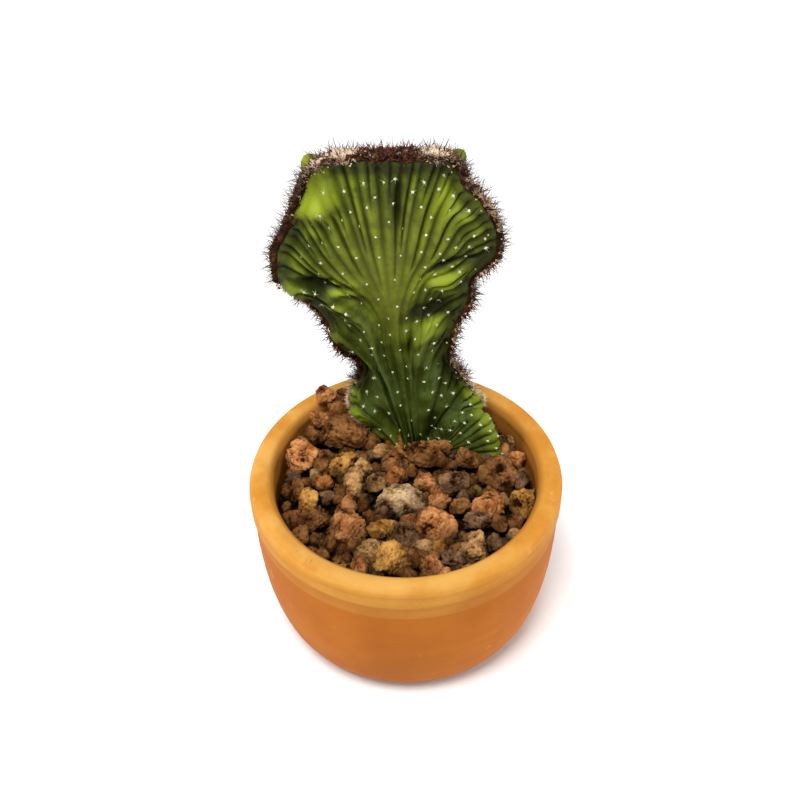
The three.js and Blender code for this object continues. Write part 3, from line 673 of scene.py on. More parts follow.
def furrows_at(ribs, rib_width, late, seed):
    """How deep the furrows cut, how near each point is to the bottom of one, and how near to the
    flank of a ridge that gets a painted highlight, from 0 to 1.

    A furrow of a rank grows in where that rank's ribs get wide enough, so that ribs split in two, and
    only on wider ones where it is late. Each has a start and a depth of its own. Its wall falls as a
    power of the distance from its middle, steeply on the left and gently on the right.
    """
    rng = np.random.default_rng(seed)
    depth, near, pale = 0 * ribs, 0 * ribs, 0 * ribs
    for rank, (every, full) in enumerate(FURROWS):
        width = every * rib_width
        number = np.round(ribs / every) if rank == 0 else 2 * np.floor(ribs / every / 2) + 1
        number = number.astype(int)
        start = FURROW_START * late * rng.uniform(0.8, 1.35, 200)[number]
        own = rng.uniform(0.75, 1.2, 200)[number]
        grown = smooth((width / start - 1) / 0.4)
        off = (ribs / every - number) * width
        wide = smooth((width - 4.2) / 3)
        reach = np.minimum(width / 2, mix(1.7, 3.0, wide)) * np.where(off < 0, 0.7, 1.3)
        wall = np.clip(1 - np.abs(off) / reach, 0, 1) ** mix(2.0, 1.5, wide)
        line = bell(off, 0.38)
        depth = np.maximum(depth, full * own * grown * wall)
        # How near the bottom of a furrow, where the skin gets painted shade.
        near = np.maximum(near, grown * np.maximum(line * mix(1, 0.8, wide), 0.5 * wall))
        share = ribs / every - np.floor(ribs / every)
        # The flank of the ridge that gets a painted highlight.
        flank = smooth((share - 0.1) / 0.3) * (1 - smooth((share - 0.5) / 0.35))
        pale = mix(pale, flank, grown)
    return depth, near, pale


def wool_share(t):
    """The share of the margin that the wool covers at t, with two gaps at its lower left."""
    ends = smooth((t - WOOL_FROM + WOOL_FADE) / WOOL_FADE) * smooth((WOOL_TO + WOOL_FADE - t) / WOOL_FADE)
    gaps = 0.95 * bell(t - 0.266, 0.02) + 0.8 * bell(t - 0.2, 0.012)
    return ends * (1 - gaps)


def corner(t):
    """1 at the two top corners, where the skin behind the wool stands up bare."""
    return sum(bell(t - place, CORNER_SPREAD) for place in CORNERS)


def wool_reach(t):
    """How far round the margin the wool reaches at t to the front and to the back, in degrees."""
    top = smooth((t - 0.36) / 0.07) * smooth((0.63 - t) / 0.07)
    along = np.stack([375 * t, 0 * t, 0 * t], -1)
    ragged = 1 + 0.28 * waves(along, 35, [(9, 0.6), (3.5, 0.5)])
    return mix(27, 36, top) * ragged, mix(40, 60, top) * (1 - 0.9 * corner(t))


# Shares of a rib at which the columns of the crest's grid lie: close together at the furrows.
RIB_COLUMNS = np.array([0, 0.1, 0.27, 0.5, 0.73, 0.9])
FACE_ROWS = 77
BEND_ANGLES = np.linspace(-80, 80, 17)
# The heart of the fan, where the furrows fade: x, z, reach across, reach along.
HUB = (-5.0, 132.0, 17.5, 29.0)


class CrestSurface:
    """The crest's two faces and its rounded margin as points on a fine grid."""

    def __init__(self):
        self.net, ends = rib_net(CREST, MARGIN)
        count = CREST["ribs"]
        ribs = np.append((np.arange(count)[:, None] + RIB_COLUMNS).reshape(-1), count)
        rows = 1 - (1 - np.linspace(0, 1, FACE_ROWS)) ** 1.35
        self.fine = finer(self.net, rows, ribs / count)
        self.t = np.interp(ribs / count, np.linspace(0, 1, len(ends)), ends)
        self.margin, self.inward = margin_at(MARGIN, self.t)
        self.rounding = self.margin[:, 4] - wool_share(self.t) * WOOL_THICKNESS
        self.edge = distance_to(self.net[-1], self.fine)
        held = 1 - bell(self.edge, 6)
        x, z, across, along, share = WAIST
        off = self.fine[..., 0] - x
        drawn = share * off * np.exp(-((off / across) ** 2) - ((self.fine[..., 1] - z) / along) ** 2)
        self.fine[..., 0] -= drawn * held
        for x, z, reach, shift_x, shift_z in WARPS:
            away = np.linalg.norm(self.fine - [x, z], axis=-1)
            push = bell(away, reach) * held
            self.fine = self.fine + push[..., None] * np.array([shift_x, shift_z])
        self.ribs = np.broadcast_to(ribs, self.edge.shape)
        across = np.gradient(self.fine, ribs, axis=1)
        along = np.gradient(self.fine, axis=0)
        along /= np.linalg.norm(along, axis=-1, keepdims=True) + 1e-9
        self.rib_width = np.abs(across[..., 0] * along[..., 1] - across[..., 1] * along[..., 0])

    def face(self, side, seed, swellings, folds, youth_and_light):
        """One face, as its points, the depth of its furrows and what the skin's material reads.

        y is the middle plane with the margin's lean, and out from it the margin's roundness, a
        fullness that grows inwards, swellings and folds, less the furrows. The furrows fade at the
        heart of the fan, on the first two swellings, and low down except at the right. Only the back
        has the corner knobs.
        """
        x, z = self.fine[..., 0], self.fine[..., 1]
        near_edge = bell(self.edge, 8)
        late = mix(1, 2.4, smooth((122 - z) / 30) * (1 - near_edge))
        depth, near, pale = furrows_at(self.ribs, self.rib_width, late, seed)
        hub_x, hub_z, hub_across, hub_along = HUB
        hub = np.exp(-(((x - hub_x) / hub_across) ** 2) - ((z - hub_z) / hub_along) ** 2)
        open_edge = (1 - wool_share(self.t)) * bell(self.edge, 3)
        bare = 0.5 * open_edge * bell(self.edge, 1.4) * smooth((z - 56) / 6) * (1 - near)
        knob = corner(self.t) * bell(self.edge, CORNER_REACH) * (side > 0)
        # Young skin, painted light on slopes that face the lamp, and below 0 painted shade in hollows.
        youth_and_painted_light = swelling_at(youth_and_light, x, z)
        young = np.clip(np.maximum(youth_and_painted_light, bare + knob), 0, 1)
        swell = swelling_at(swellings, x, z)
        bulge = smooth(swelling_at(swellings[:2], x, z) / 2.2)
        calm = (1 - 0.95 * hub) * (1 - 0.85 * bulge)
        plain = np.maximum(smooth((z - 102) / 22), 0.85 * smooth((x - 8) / 5))
        calm = calm * mix(0.24, 1, np.maximum(plain, open_edge))
        relief = depth * calm
        stem = 1.6 * smooth((105 - z) / 40)
        fullness = (3.2 + stem) * (1 - bell(self.edge, mix(9, 5, bulge)))
        inner = 1 - bell(self.edge, mix(4, 2.6, bulge))
        fold = folds_at(folds, x, z)
        half = self.rounding + fullness + inner * (swell + fold) - relief
        if side > 0:
            half = half + CORNER_HEIGHT * corner(self.t) * bell(self.edge, CORNER_REACH)
        lean = self.margin[:, 2] * bell(self.edge, 12)
        points = np.stack([x, PLANE_Y + lean + side * half, z], -1)
        points[..., 1] += side * 0.12 * waves(points, seed, [(9, 1.0), (4, 0.5)])
        covered = wool_share(self.t) * (1 - 0.7 * bulge) * (1 - knob)
        # Painted shade under the wool's overhanging lip.
        shade_under_wool = 0.85 * covered * bell(self.edge, 2.2)
        # Painted shade: in hollows and below folds, under the wool, and where the youth table is below 0.
        painted_shade = np.clip(np.maximum(np.maximum(-(swell + fold) * inner / 1.9, -youth_and_painted_light), shade_under_wool), 0, 1)
        looks = {
            # Painted shade along the bottoms of the furrows.
            "furrow": np.clip(near * calm**1.6, 0, 1),
            "painted_shade": painted_shade,
            "young": young,
            # Painted highlight on the flanks of the ridges that face the lamp.
            "lit_flank": pale * np.sqrt(calm),
            "from_margin": np.clip(self.edge / 20, 0, 1),
        }
        return points, depth * (1 - 0.85 * bulge), looks

    def bend(self, degrees, depth):
        """The margin's roundness at an angle from its middle line."""
        relief = depth * np.maximum(smooth((abs(degrees) - 30) / 50), 0.7 * (1 - wool_share(self.t)))
        radius = self.rounding - relief + CORNER_HEIGHT * corner(self.t) * smooth((degrees + 8) / 34)
        angle = math.radians(degrees)
        out = radius * math.cos(angle)
        x, z = (self.fine[-1] - self.inward * out[:, None]).T
        return np.stack([x, PLANE_Y + self.margin[:, 2] + radius * math.sin(angle), z], -1)


def closed_shell(name, rows, looks, centre, material):
    """A grid of rows that ends in two foot rows, closed by a fan to one point between them."""
    count, columns = rows.shape[:2]
    index = np.arange(count * columns).reshape(count, columns)
    loop = np.concatenate([index[0], index[1:-1, -1], index[-1, ::-1], index[1:-1, 0][::-1]])
    points = np.concatenate([rows.reshape(-1, 3), [centre]])
    foot = fan(loop[::-1], len(points) - 1)
    attributes = {key: np.append(value, 0) for key, value in looks.items()}
    faces = [grid_faces(count, columns), foot]
    make_piece(name, points, faces, material, ["cactus"], attributes)


def make_crest(material):
    surface = CrestSurface()
    front, front_depth, front_looks = surface.face(-1, 11, FRONT_SWELLINGS, FRONT_FOLDS, FRONT_YOUTH_AND_LIGHT)
    back, back_depth, back_looks = surface.face(1, 12, BACK_SWELLINGS, BACK_FOLDS, BACK_YOUTH)
    bend = []
    for degrees in BEND_ANGLES:
        depth = front_depth[-1] if degrees < 0 else back_depth[-1]
        bend.append(surface.bend(degrees, depth))
    rows = np.concatenate([front, bend, back[::-1]])
    looks = {}
    for key, value in front_looks.items():
        share = smooth(np.linspace(0, 1, len(bend)))[:, None]
        between = mix(value[-1], back_looks[key][-1], share)
        looks[key] = np.concatenate([value, between, back_looks[key][::-1]])
    root_x, root_z, _ = CREST["root"]
    closed_shell("crest", rows, looks, [root_x, PLANE_Y, root_z], material)
    return surface, front, back


SECOND_PLACE = (12.0, 29.0)
SECOND_TURN = math.radians(-22)


def beside(u, v, z):
    """From the small crest's own width and thickness to the object's x and y."""
    c, s = math.cos(SECOND_TURN), math.sin(SECOND_TURN)
    return np.stack([SECOND_PLACE[0] + c * u - s * v, SECOND_PLACE[1] + s * u + c * v, z], -1)


def make_second_crest(material):
    """A small crest made the same way, turned to the right, with plain ribs whose ends stand out,
    and low lumps where it is young. Returns the places and directions of its areoles."""
    net, ends = rib_net(SECOND, SECOND_MARGIN)
    count = SECOND["ribs"]
    each, lines = 16, 28
    place = np.linspace(0, 1, each * count + 1)
    fine = finer(net, np.linspace(0, 1, lines), place)
    t = np.interp(place, np.linspace(0, 1, len(ends)), ends)
    margin, inward = margin_at(SECOND_MARGIN, t)
    edge = distance_to(net[-1], fine)
    number = np.round(place * count).astype(int)
    away = np.abs(place * count - number) * 2
    young = smooth((t - 0.3) / 0.12) * np.random.default_rng(7).uniform(0.45, 1.1, count + 1)[number]
    furrow = (1 - away) ** 2.4 * np.ones_like(edge)
    deep = mix(0.5, 1.5, bell(edge, 4) * young) * smooth(np.linspace(0, 2, lines))[:, None]
    lean = margin[:, 2]
    flat = np.stack([fine[..., 0], 0 * edge, fine[..., 1]], -1)
    lumps = 0.4 * waves(flat, 14, [(5, 0.7), (2.5, 0.5)]) * (1 - bell(edge, 1.5))
    half = 3 + 1.8 * (1 - bell(edge, 7)) - furrow * deep + lumps * young
    front, back = (beside(fine[..., 0], lean + side * half, fine[..., 1]) for side in (-1, 1))
    bend = []
    for degrees in np.linspace(-80, 80, 15):
        angle = math.radians(degrees)
        crenate = 1.5 * furrow[0] * math.cos(angle / 2) ** 0.5 - 0.3 * away**1.5 * math.cos(angle)
        radius = 3 - crenate * young
        x, z = (fine[-1] - inward * (radius * math.cos(angle))[:, None]).T
        bend.append(beside(x, lean + radius * math.sin(angle), z))
    blank = np.zeros((len(bend), len(place)))
    # Painted shade in the furrows of the small crest.
    dark = 0.75 * (1 - away) ** 4 * bell(edge, 7)
    edge = np.concatenate([edge, blank, edge[::-1]])
    looks = {
        "furrow": np.concatenate([dark, blank + dark[0], dark]),
        "from_margin": np.clip(edge / 20, 0, 1),
        "young": 0.5 * bell(edge, 1.8) * young,
    }
    rows = np.concatenate([front, bend, back[::-1]])
    closed_shell("second_crest", rows, looks, beside(0.5, 0.0, 52.5), material)
    middles = each * np.arange(count) + each // 2
    places = [front[row, middles[row % 2 :: 2]] for row in (10, 15, 20, 24, 27)]
    places += [bend[3][middles], bend[7][middles]]
    places = np.concatenate(places)
    return places, np.tile(beside(0.0, -1.0, 0.0) - beside(0.0, 0.0, 0.0), (len(places), 1))


# Areoles on the faces

# The least width of a rib that carries areoles.
AREOLE_WIDTH = 2.7


def areole_places(surface, points, side, seed):
    """Places on the ridges, a few millimetres apart, where the ribs of a rank have grown and the
    next rank's have not. Returns positions, outward directions and closeness to the margin."""
    rng = np.random.default_rng(seed)
    normal = unit(np.cross(np.gradient(points, axis=0), np.gradient(points, axis=1)))
    normal *= np.sign(normal[..., 1:2]) * side
    each = len(RIB_COLUMNS)
    found, ways, close = [], [], []
    for rank, (every, _) in enumerate(FURROWS):
        for centre in (np.arange(CREST["ribs"] // every) + 0.5) * every:
            j = int(centre) * each + (3 if centre % 1 else 0)
            line = points[:, j]
            width = every * surface.rib_width[:, j]
            grown = (width > AREOLE_WIDTH) | (rank == 0)
            split = (width / 2 > AREOLE_WIDTH) & (rank < len(FURROWS) - 1)
            fit = grown & ~split & (surface.edge[:, j] > 1.0) & (line[:, 2] > 62)
            run = np.concatenate([[0], np.cumsum(np.linalg.norm(np.diff(line, axis=0), axis=1))])
            stop = rng.uniform(0, 6)
            for i in range(len(line)):
                if run[i] < stop:
                    continue
                stop = run[i] + rng.uniform(4.5, 8.5)
                if fit[i]:
                    found.append(points[i, j])
                    ways.append(normal[i, j])
                    close.append(math.exp(-((surface.edge[i, j] / 11) ** 2)))
    return np.array(found), np.array(ways), np.array(close)


def kept_apart(found, gaps):
    """The places left when each that lies too near an earlier one is dropped."""
    keep = []
    for k, p in enumerate(found):
        if all(np.linalg.norm(p - found[m]) > gaps[k] for m in keep):
            keep.append(k)
    return np.array(keep)


def domes(places, ways, radius, height, seed, sides=8, rings=4):
    """Small felted cushions: rings of points that shrink as they rise along each direction."""
    rng = np.random.default_rng(seed)
    ring = around(ways, circle(sides))
    lift = np.radians(np.linspace(-35, 66, rings))
    points = []
    for k in range(rings):
        rough = rng.uniform(0.7, 1.3, (len(places), sides, 1))
        spread = np.reshape(radius, (-1, 1, 1)) * math.cos(lift[k]) * rough
        rise = np.reshape(height, (-1, 1, 1)) * math.sin(lift[k])
        points.append(places[:, None] + ring * spread + ways[:, None] * rise)
    top = places + ways * np.reshape(height, (-1, 1)) * 1.05
    bottom = places - ways * np.reshape(height, (-1, 1)) * 0.8
    block = np.concatenate([*points, top[:, None], bottom[:, None]], axis=1)
    each = sides * rings + 2
    start = np.arange(len(places))[:, None, None] * each
    quads = grid_faces(rings, sides, close_columns=True)[None] + start
    last = np.arange(sides) + sides * (rings - 1)
    cap = fan(last, sides * rings)[None] + start
    floor = fan(np.arange(sides)[::-1], sides * rings + 1)[None] + start
    return block.reshape(-1, 3), [quads.reshape(-1, 4), cap.reshape(-1, 3), floor.reshape(-1, 3)]


TOP_LIMIT = 196.2


def star_spines(places, ways, count, length, radius, flat, seed, scale=1.0):
    """A few spines from each place, spread evenly round its direction and leaning out from it. A
    spine that would pass the top limit is shortened."""
    rng = np.random.default_rng(seed)
    n = len(places)
    turn = rng.uniform(0, 2 * np.pi, (n, 1)) + circle(count)
    turn = turn + rng.uniform(-0.5, 0.5, (n, count))
    lean = np.clip(flat + rng.normal(0, 0.3, (n, count)), 0, 1.45)
    ring = around(ways, turn)
    way = ring * np.sin(lean)[..., None] + ways[:, None] * np.cos(lean)[..., None]
    roots = np.repeat(places[:, None] - 0.25 * ways[:, None], count, axis=1)
    size = rng.uniform(*length, (n, count)) * np.reshape(scale * np.ones(n), (-1, 1))
    room = (TOP_LIMIT - roots[..., 2]) / np.maximum(way[..., 2], 1e-3)
    size = np.where(way[..., 2] > 0, np.minimum(size, room), size)[..., None]
    roots = roots.reshape(-1, 3)
    tips = roots + (way * size).reshape(-1, 3)
    return spindles(roots, tips, rng.uniform(*radius, len(roots)))


def make_areoles(surface, front, back, small, felt_finish, spine_finish):
    felts, spines = [], []
    sets = [areole_places(surface, front, -1, 81), areole_places(surface, back, 1, 82)]
    sets.append((*small, np.ones(len(small[0]))))
    for seed, (found, ways, close) in enumerate(sets, 85):
        keep = kept_apart(found, mix(5.6, 3.7, close))
        found, ways, close = found[keep], ways[keep], close[keep]
        size = np.random.default_rng(seed).uniform(0.4, 0.58, len(found)) * mix(0.9, 1.05, close)
        felts.append(domes(found, ways, size, size * 0.7, seed + 10))
        scale = mix(0.6, 1.25, close)
        spines.append(star_spines(found, ways, 6, (0.9, 1.9), (0.07, 0.11), 1.0, seed + 20, scale))
    points, faces = joined(felts)
    make_piece("areoles", points, faces, felt_finish, ["cactus"])
    points, faces = joined(spines)
    make_piece("areole_spines", points, faces, spine_finish, ["cactus"])


# Wool and spines of the margin


def margin_frame(t, across):
    """Positions on the margin's inner line and directions out of its roundness, at t and a share
    across the wool, from -1 at its front edge to 1 at its back edge."""
    rows, inward = margin_at(MARGIN, t)
    front, back = wool_reach(t)
    angle = np.radians(mix(-front, back, (across + 1) / 2))
    out = np.cos(angle)
    way = np.stack([-inward[:, 0] * out, np.sin(angle), -inward[:, 1] * out], -1)
    line = rows[:, :2] + inward * rows[:, 4:]
    base = np.stack([line[:, 0], PLANE_Y + rows[:, 2], line[:, 1]], -1)
    return base, way, rows[:, 4]


WOOL_TOP = 194.2


def make_wool(material):
    """A felted band round the margin: its thickness swells and sinks in lumps, and fades at its ends."""
    stations, columns = 1000, 36
    t = np.linspace(WOOL_FROM - 0.012, WOOL_TO + 0.012, stations)
    fade = smooth((t - t[0]) / 0.02) * smooth((t[-1] - t) / 0.02) * wool_share(t)
    high = smooth((t - 0.4) / 0.03) * smooth((0.74 - t) / 0.04)
    outer, pale = [], []
    for across in np.linspace(-1, 1, columns):
        base, way, half = margin_frame(t, across)
        lumps = waves(base + way * 5, 31, [(8, 0.35), (3.4, 0.5), (1.7, 0.6), (1.0, 0.5)])
        swell = 0.7 * lumps - (1.5 if across > 0 else 0.7) * abs(across) ** 6
        outer.append(base + way * (half - WOOL_THICKNESS + (WOOL_THICKNESS + swell) * fade)[:, None])
        spots = waves(base + way * 5, 33, [(5, 1.0), (2, 0.7)])
        # The cream stays off the band's front edge, which stays dark brown: partly the wool's own colour,
        # partly painted shade along the band's lower edge.
        pale.append(high * (3.0 * pale_chance(t) - 0.7 + 0.6 * spots) * smooth((across + 0.8) / 0.35))
    inner = []
    for across in np.linspace(0.94, -0.94, 9):
        base, way, half = margin_frame(t, across)
        inner.append(base + way * (half - WOOL_THICKNESS - 1.4)[:, None])
    grid = np.array(outer + inner)
    grid[..., 2] = np.minimum(grid[..., 2], WOOL_TOP)
    count = len(grid)
    index = np.arange(count * stations).reshape(count, stations)
    ends = [fan(index[::-1, 0], count * stations), fan(index[:, -1], count * stations + 1)]
    points = np.concatenate([grid.reshape(-1, 3), [grid[:, 0].mean(0)], [grid[:, -1].mean(0)]])
    faces = [grid_faces(count, stations, close_rows=True), np.concatenate(ends)]
    looks = np.zeros(len(points))
    looks[: columns * stations] = np.clip(np.array(pale), 0, 1).reshape(-1)
    make_piece(
        "margin_wool", points, faces, material, ["wool_and_spines"], {"pale": looks}
    )


# Where pale wool and straw spines crowd along the margin: place, spread, strength.
PALE_PLACES = [
    (0.235, 0.03, 0.5),
    (0.43, 0.015, 0.6),
    (0.458, 0.012, 0.95),
    (0.535, 0.018, 1.0),
    (0.615, 0.02, 0.9),
    (0.7, 0.03, 0.4),
    (0.8, 0.03, 0.4),
    (0.845, 0.018, 0.8),
]


def pale_chance(t):
    """How pale the margin is at t: a floor with a bell at each pale place."""
    bells = [strength * bell(t - place, spread) for place, spread, strength in PALE_PLACES]
    return 0.03 + sum(bells)


def red_chance(t):
    """Young red spines crowd at the middle of the top and are rare elsewhere."""
    return (0.1 + 0.7 * bell(t - 0.492, 0.022)) * wool_share(t)


def straw_chance(t):
    """Straw spines stand among the pale wool, and thinly along the bare parts of the margin."""
    return (0.12 + 0.8 * pale_chance(t)) * wool_share(t) + 0.8 * (1 - wool_share(t))


def make_tufts(name, material, count, sizes, chance, seed):
    """Uneven tufts of wool, like small torn cushions, where the chance along the margin allows."""
    rng = np.random.default_rng(seed)
    t = rng.uniform(WOOL_FROM, WOOL_TO, count)
    t = t[rng.uniform(0, 1, count) < chance(t) * wool_share(t)]
    across = rng.normal(0.2, 0.45, len(t)).clip(-0.8, 0.9)
    base, way, half = margin_frame(t, across)
    way = unit(way + rng.normal(0, 0.35, way.shape))
    size = rng.uniform(*sizes, len(t))
    places = base + way * (half - 0.1)[:, None]
    places[:, 2] = np.minimum(places[:, 2], WOOL_TOP)
    points, faces = domes(places, way, size, size * rng.uniform(0.8, 2.2, len(t)), seed + 1, 6, 3)
    points[:, 2] = np.minimum(points[:, 2], TOP_LIMIT)
    make_piece(name, points, faces, material, ["wool_and_spines"])


def make_margin_spines(name, material, clusters, each, length, radius, seed, chance):
    """Clusters of spines over the wool band, evenly along it and across it, thinned by a chance."""
    rng = np.random.default_rng(seed)
    k = np.arange(clusters)
    t = 0.04 + 0.89 * (k + rng.uniform(0, 1, clusters)) / clusters
    across = 2 * ((k * 0.618 + 0.2 * rng.uniform(0, 1, clusters)) % 1) - 1
    keep = rng.uniform(0, 1, clusters) < chance(t)
    base, way, half = margin_frame(t[keep], 1.15 * across[keep])
    places = base + way * (half - 0.6)[:, None]
    points, faces = star_spines(places, way, each, length, radius, 0.65, seed + 2)
    make_piece(name, points, faces, material, ["wool_and_spines"])


# Gravel

GRAVEL_TOP = 67.0
BED_TOP = 57.5
BED_FOOT = 52.2
BED_RADIUS = 49.6
SMALL_STONES = 140
# A stone's random planes, the power that blunts its edges, and the half size from which its waves and
# pits have their full depth.
STONE_PLANES = 10
STONE_POWER = 34
LARGE_STONE = 5.5

# Stones that show: x, y, width, depth, tone, and for some the height of their top.
STONES = [
    (-2, -5, 20, 16, "pale"),
    (-23, -16, 19, 22, "rust"),
    (12, -18, 16, 19, "rust"),
    (25, -30, 12, 14, "tan"),
    (46, -6, 11, 14, "ochre"),
    (31, -9, 12, 11, "rust"),
    (38, 8, 17, 16, "brown"),
    (19, 4, 12, 13, "grey"),
    (9, 5, 10, 12, "rust"),
    (10, 19, 17, 12, "brown", 70),
    (-8, 21, 9, 8, "tan"),
    (-5, 15, 13, 10, "brown"),
    (-20, 4, 9, 15, "tan"),
    (-17, 13, 9, 10, "tan"),
    (-12, 4, 8, 9, "tan"),
    (-25, 17, 14, 12, "ochre"),
    (-32, 5, 9, 8, "rust"),
    (-42, 17, 13, 14, "rust", 70),
    (-43, 1, 11, 11, "brown"),
    (-38, -5, 9, 11, "ochre"),
    (-35, -13, 11, 12, "brown"),
    (-24.5, 29.5, 18, 14, "brown", 73),
    (44, 27, 9, 9, "tan"),
    (38, 36, 9, 8, "brown"),
    (25, 16, 11, 9, "brown"),
    (44, 14, 8, 8, "rust"),
    (45, 5, 8, 11, "grey"),
    (-9, -19, 10, 9, "ochre"),
    (0, -23, 11, 11, "grey"),
    (-14, -31, 10, 10, "tan"),
    (-6, -35, 13, 14, "ochre"),
    (4, -33, 9, 9, "brown"),
    (9, -38, 9, 9, "rust"),
    (17, -36, 11, 9, "grey"),
    (27, -18, 13, 8, "grey"),
    (36, -18, 8, 8, "brown"),
    (34, -28, 8, 9, "grey"),
    (13, -6, 9, 6, "rust"),
    (21, -10, 9, 7, "brown"),
    (-4, 8, 10, 8, "rust"),
    (-26, 0, 7, 11, "brown"),
    (-31, -4, 6, 6, "grey"),
    (-33, 18, 10, 12, "brown"),
    (-31.5, 40.5, 8.5, 8, "rust", 81),
    (-24.5, 41, 8.5, 7.5, "brown", 79),
    (-28, 37.5, 10, 8, "brown", 77),
    (-36, 35.5, 8.5, 8.5, "rust", 73.5),
    (-37.5, 28, 9, 9, "brown", 70),
    (-29, 38.5, 16, 12, "brown", 72),
    (-19.5, 39, 11, 10, "tan", 72),
    (-14, 28, 9, 8, "brown", 66),
    (-41, 24, 8, 8, "brown", 69),
]


def stone(centre, size, turns, rings, seed):
    """A rough stone. Its radius in a direction is the soft least of the distances to some random
    planes, which gives blunt facets, with waves over it and small pits cut in. Returns its points,
    its faces and how high each point lies over the plain facets, in millimetres."""
    rng = np.random.default_rng(seed)
    lon = circle(turns)
    lat = np.pi * (np.arange(rings) + 0.5) / rings
    flat, up = np.sin(lat)[:, None], np.cos(lat)[:, None]
    way = np.stack([flat * np.cos(lon), flat * np.sin(lon), up + 0 * lon], -1).reshape(-1, 3)
    way = np.concatenate([way, [[0, 0, 1.0], [0, 0, -1.0]]])
    axes = np.linalg.qr(rng.normal(size=(3, 3)))[0]
    way = way @ axes.T * np.sign(np.linalg.det(axes))
    planes = unit(rng.normal(size=(STONE_PLANES, 3)))
    reach = rng.uniform(0.7, 1.04, STONE_PLANES)
    towards = np.clip(way @ planes.T, 0, None) / reach
    radius = ((towards**STONE_POWER).sum(1) + 1e-6) ** (-1 / STONE_POWER)
    radius = np.minimum(radius, 1.2)
    span = np.array(size) / 2
    rough = waves(way * span, seed + 1, [(8, 0.5), (3.5, 0.24), (1.6, 0.28), (0.9, 0.22)], 8)
    rough *= min(1, span.mean() / LARGE_STONE)
    count = int(5 * span.mean())
    pits = unit(rng.normal(size=(count, 3)))
    spread = rng.uniform(0.3, 0.9, count) / span.mean()
    depth = rng.uniform(0.3, 1.0, count) * min(1, span.mean() / LARGE_STONE)
    near = np.arccos(np.clip(way @ pits.T, -1, 1))
    relief = rough - (depth * bell(near, spread)).max(1)
    radius = radius + relief / span.mean()
    points = np.array(centre) + way * radius[:, None] * span
    return points, capped_faces(rings, turns), relief


def held_in(points):
    """Stones that reach the pot's wall are flattened against it below the rim."""
    r = np.linalg.norm(points[:, :2], axis=1)
    lift = np.clip((points[:, 2] - 70.5) / 4, 0, 1)
    limit = inner_radius(np.minimum(points[:, 2], 70)) - 0.3 + 4.5 * smooth(lift)
    share = np.minimum(1, limit / np.maximum(r, 1e-6))
    return points * np.stack([share, share, np.ones_like(share)], -1)


def make_gravel(finishes):
    rng = np.random.default_rng(61)
    groups = {tone: [] for tone in finishes}
    spots = []
    for k, (x, y, width, depth, tone, *top) in enumerate(STONES):
        height = 0.42 * (width + depth)
        top = top[0] if top else GRAVEL_TOP + rng.uniform(-1.2, 0.8) - 0.1 * (14 - height)
        turns = 76 if width + depth > 20 else 52
        size = np.array([width, depth, height]) * 0.93
        groups[tone].append(stone((x, y, top - height / 2), size, turns, turns // 2, 100 + k))
        spots.append((x, y, (width + depth) / 4))
    tones = ["rust", "brown", "brown", "tan", "grey", "ochre", "rust", "brown"]
    count = 0
    for _ in range(6000):
        radius = rng.uniform(2.6, 4.6)
        far = math.sqrt(rng.uniform(0, 1)) * (49.5 - radius)
        turn = rng.uniform(0, 2 * math.pi)
        x, y = far * math.cos(turn), far * math.sin(turn)
        layer = count % 3
        apart = 0.52 + 0.14 * layer
        near = any(math.hypot(px - x, py - y) < (r + radius) * apart for px, py, r in spots)
        if near or count == SMALL_STONES:
            continue
        spots.append((x, y, radius))
        size = 2 * radius * rng.uniform(0.8, 1.2, 3)
        tone = tones[int(rng.integers(len(tones)))]
        groups[tone].append(stone((x, y, 58.2 + 1.7 * layer), size, 32, 16, 1000 + count))
        count += 1
    for tone, stones in groups.items():
        points, faces = joined([(points, faces) for points, faces, _ in stones])
        looks = {"relief": np.concatenate([relief for _, _, relief in stones])}
        make_piece("gravel_" + tone, held_in(points), faces, finishes[tone], ["gravel"], looks)


def make_bed(material):
    """The grit under the stones: a disc with a rough top."""
    rings, turns = 60, 160
    r = np.linspace(1.5, BED_RADIUS, rings)[:, None]
    turn = circle(turns)
    x, y = r * np.cos(turn), r * np.sin(turn)
    flat = np.stack([x, y, 0 * x], -1)
    z = BED_TOP + 0.7 * waves(flat, 71, [(6, 0.5), (2.5, 0.5)])
    top = np.stack([x, y, z], -1)
    rim = [np.stack([x[-1], y[-1], 0 * x[-1] + h], -1) for h in (55.0, BED_FOOT)]
    under = np.stack([x[::6][::-1], y[::6][::-1], 0 * x[::6] + BED_FOOT], -1)
    grid = np.concatenate([top, rim, under])
    points = np.concatenate([grid.reshape(-1, 3), [[0, 0, BED_TOP], [0, 0, BED_FOOT]]])
    faces = capped_faces(len(grid), turns)
    make_piece("gravel_bed", points, faces, material, ["gravel"])


# Finishes


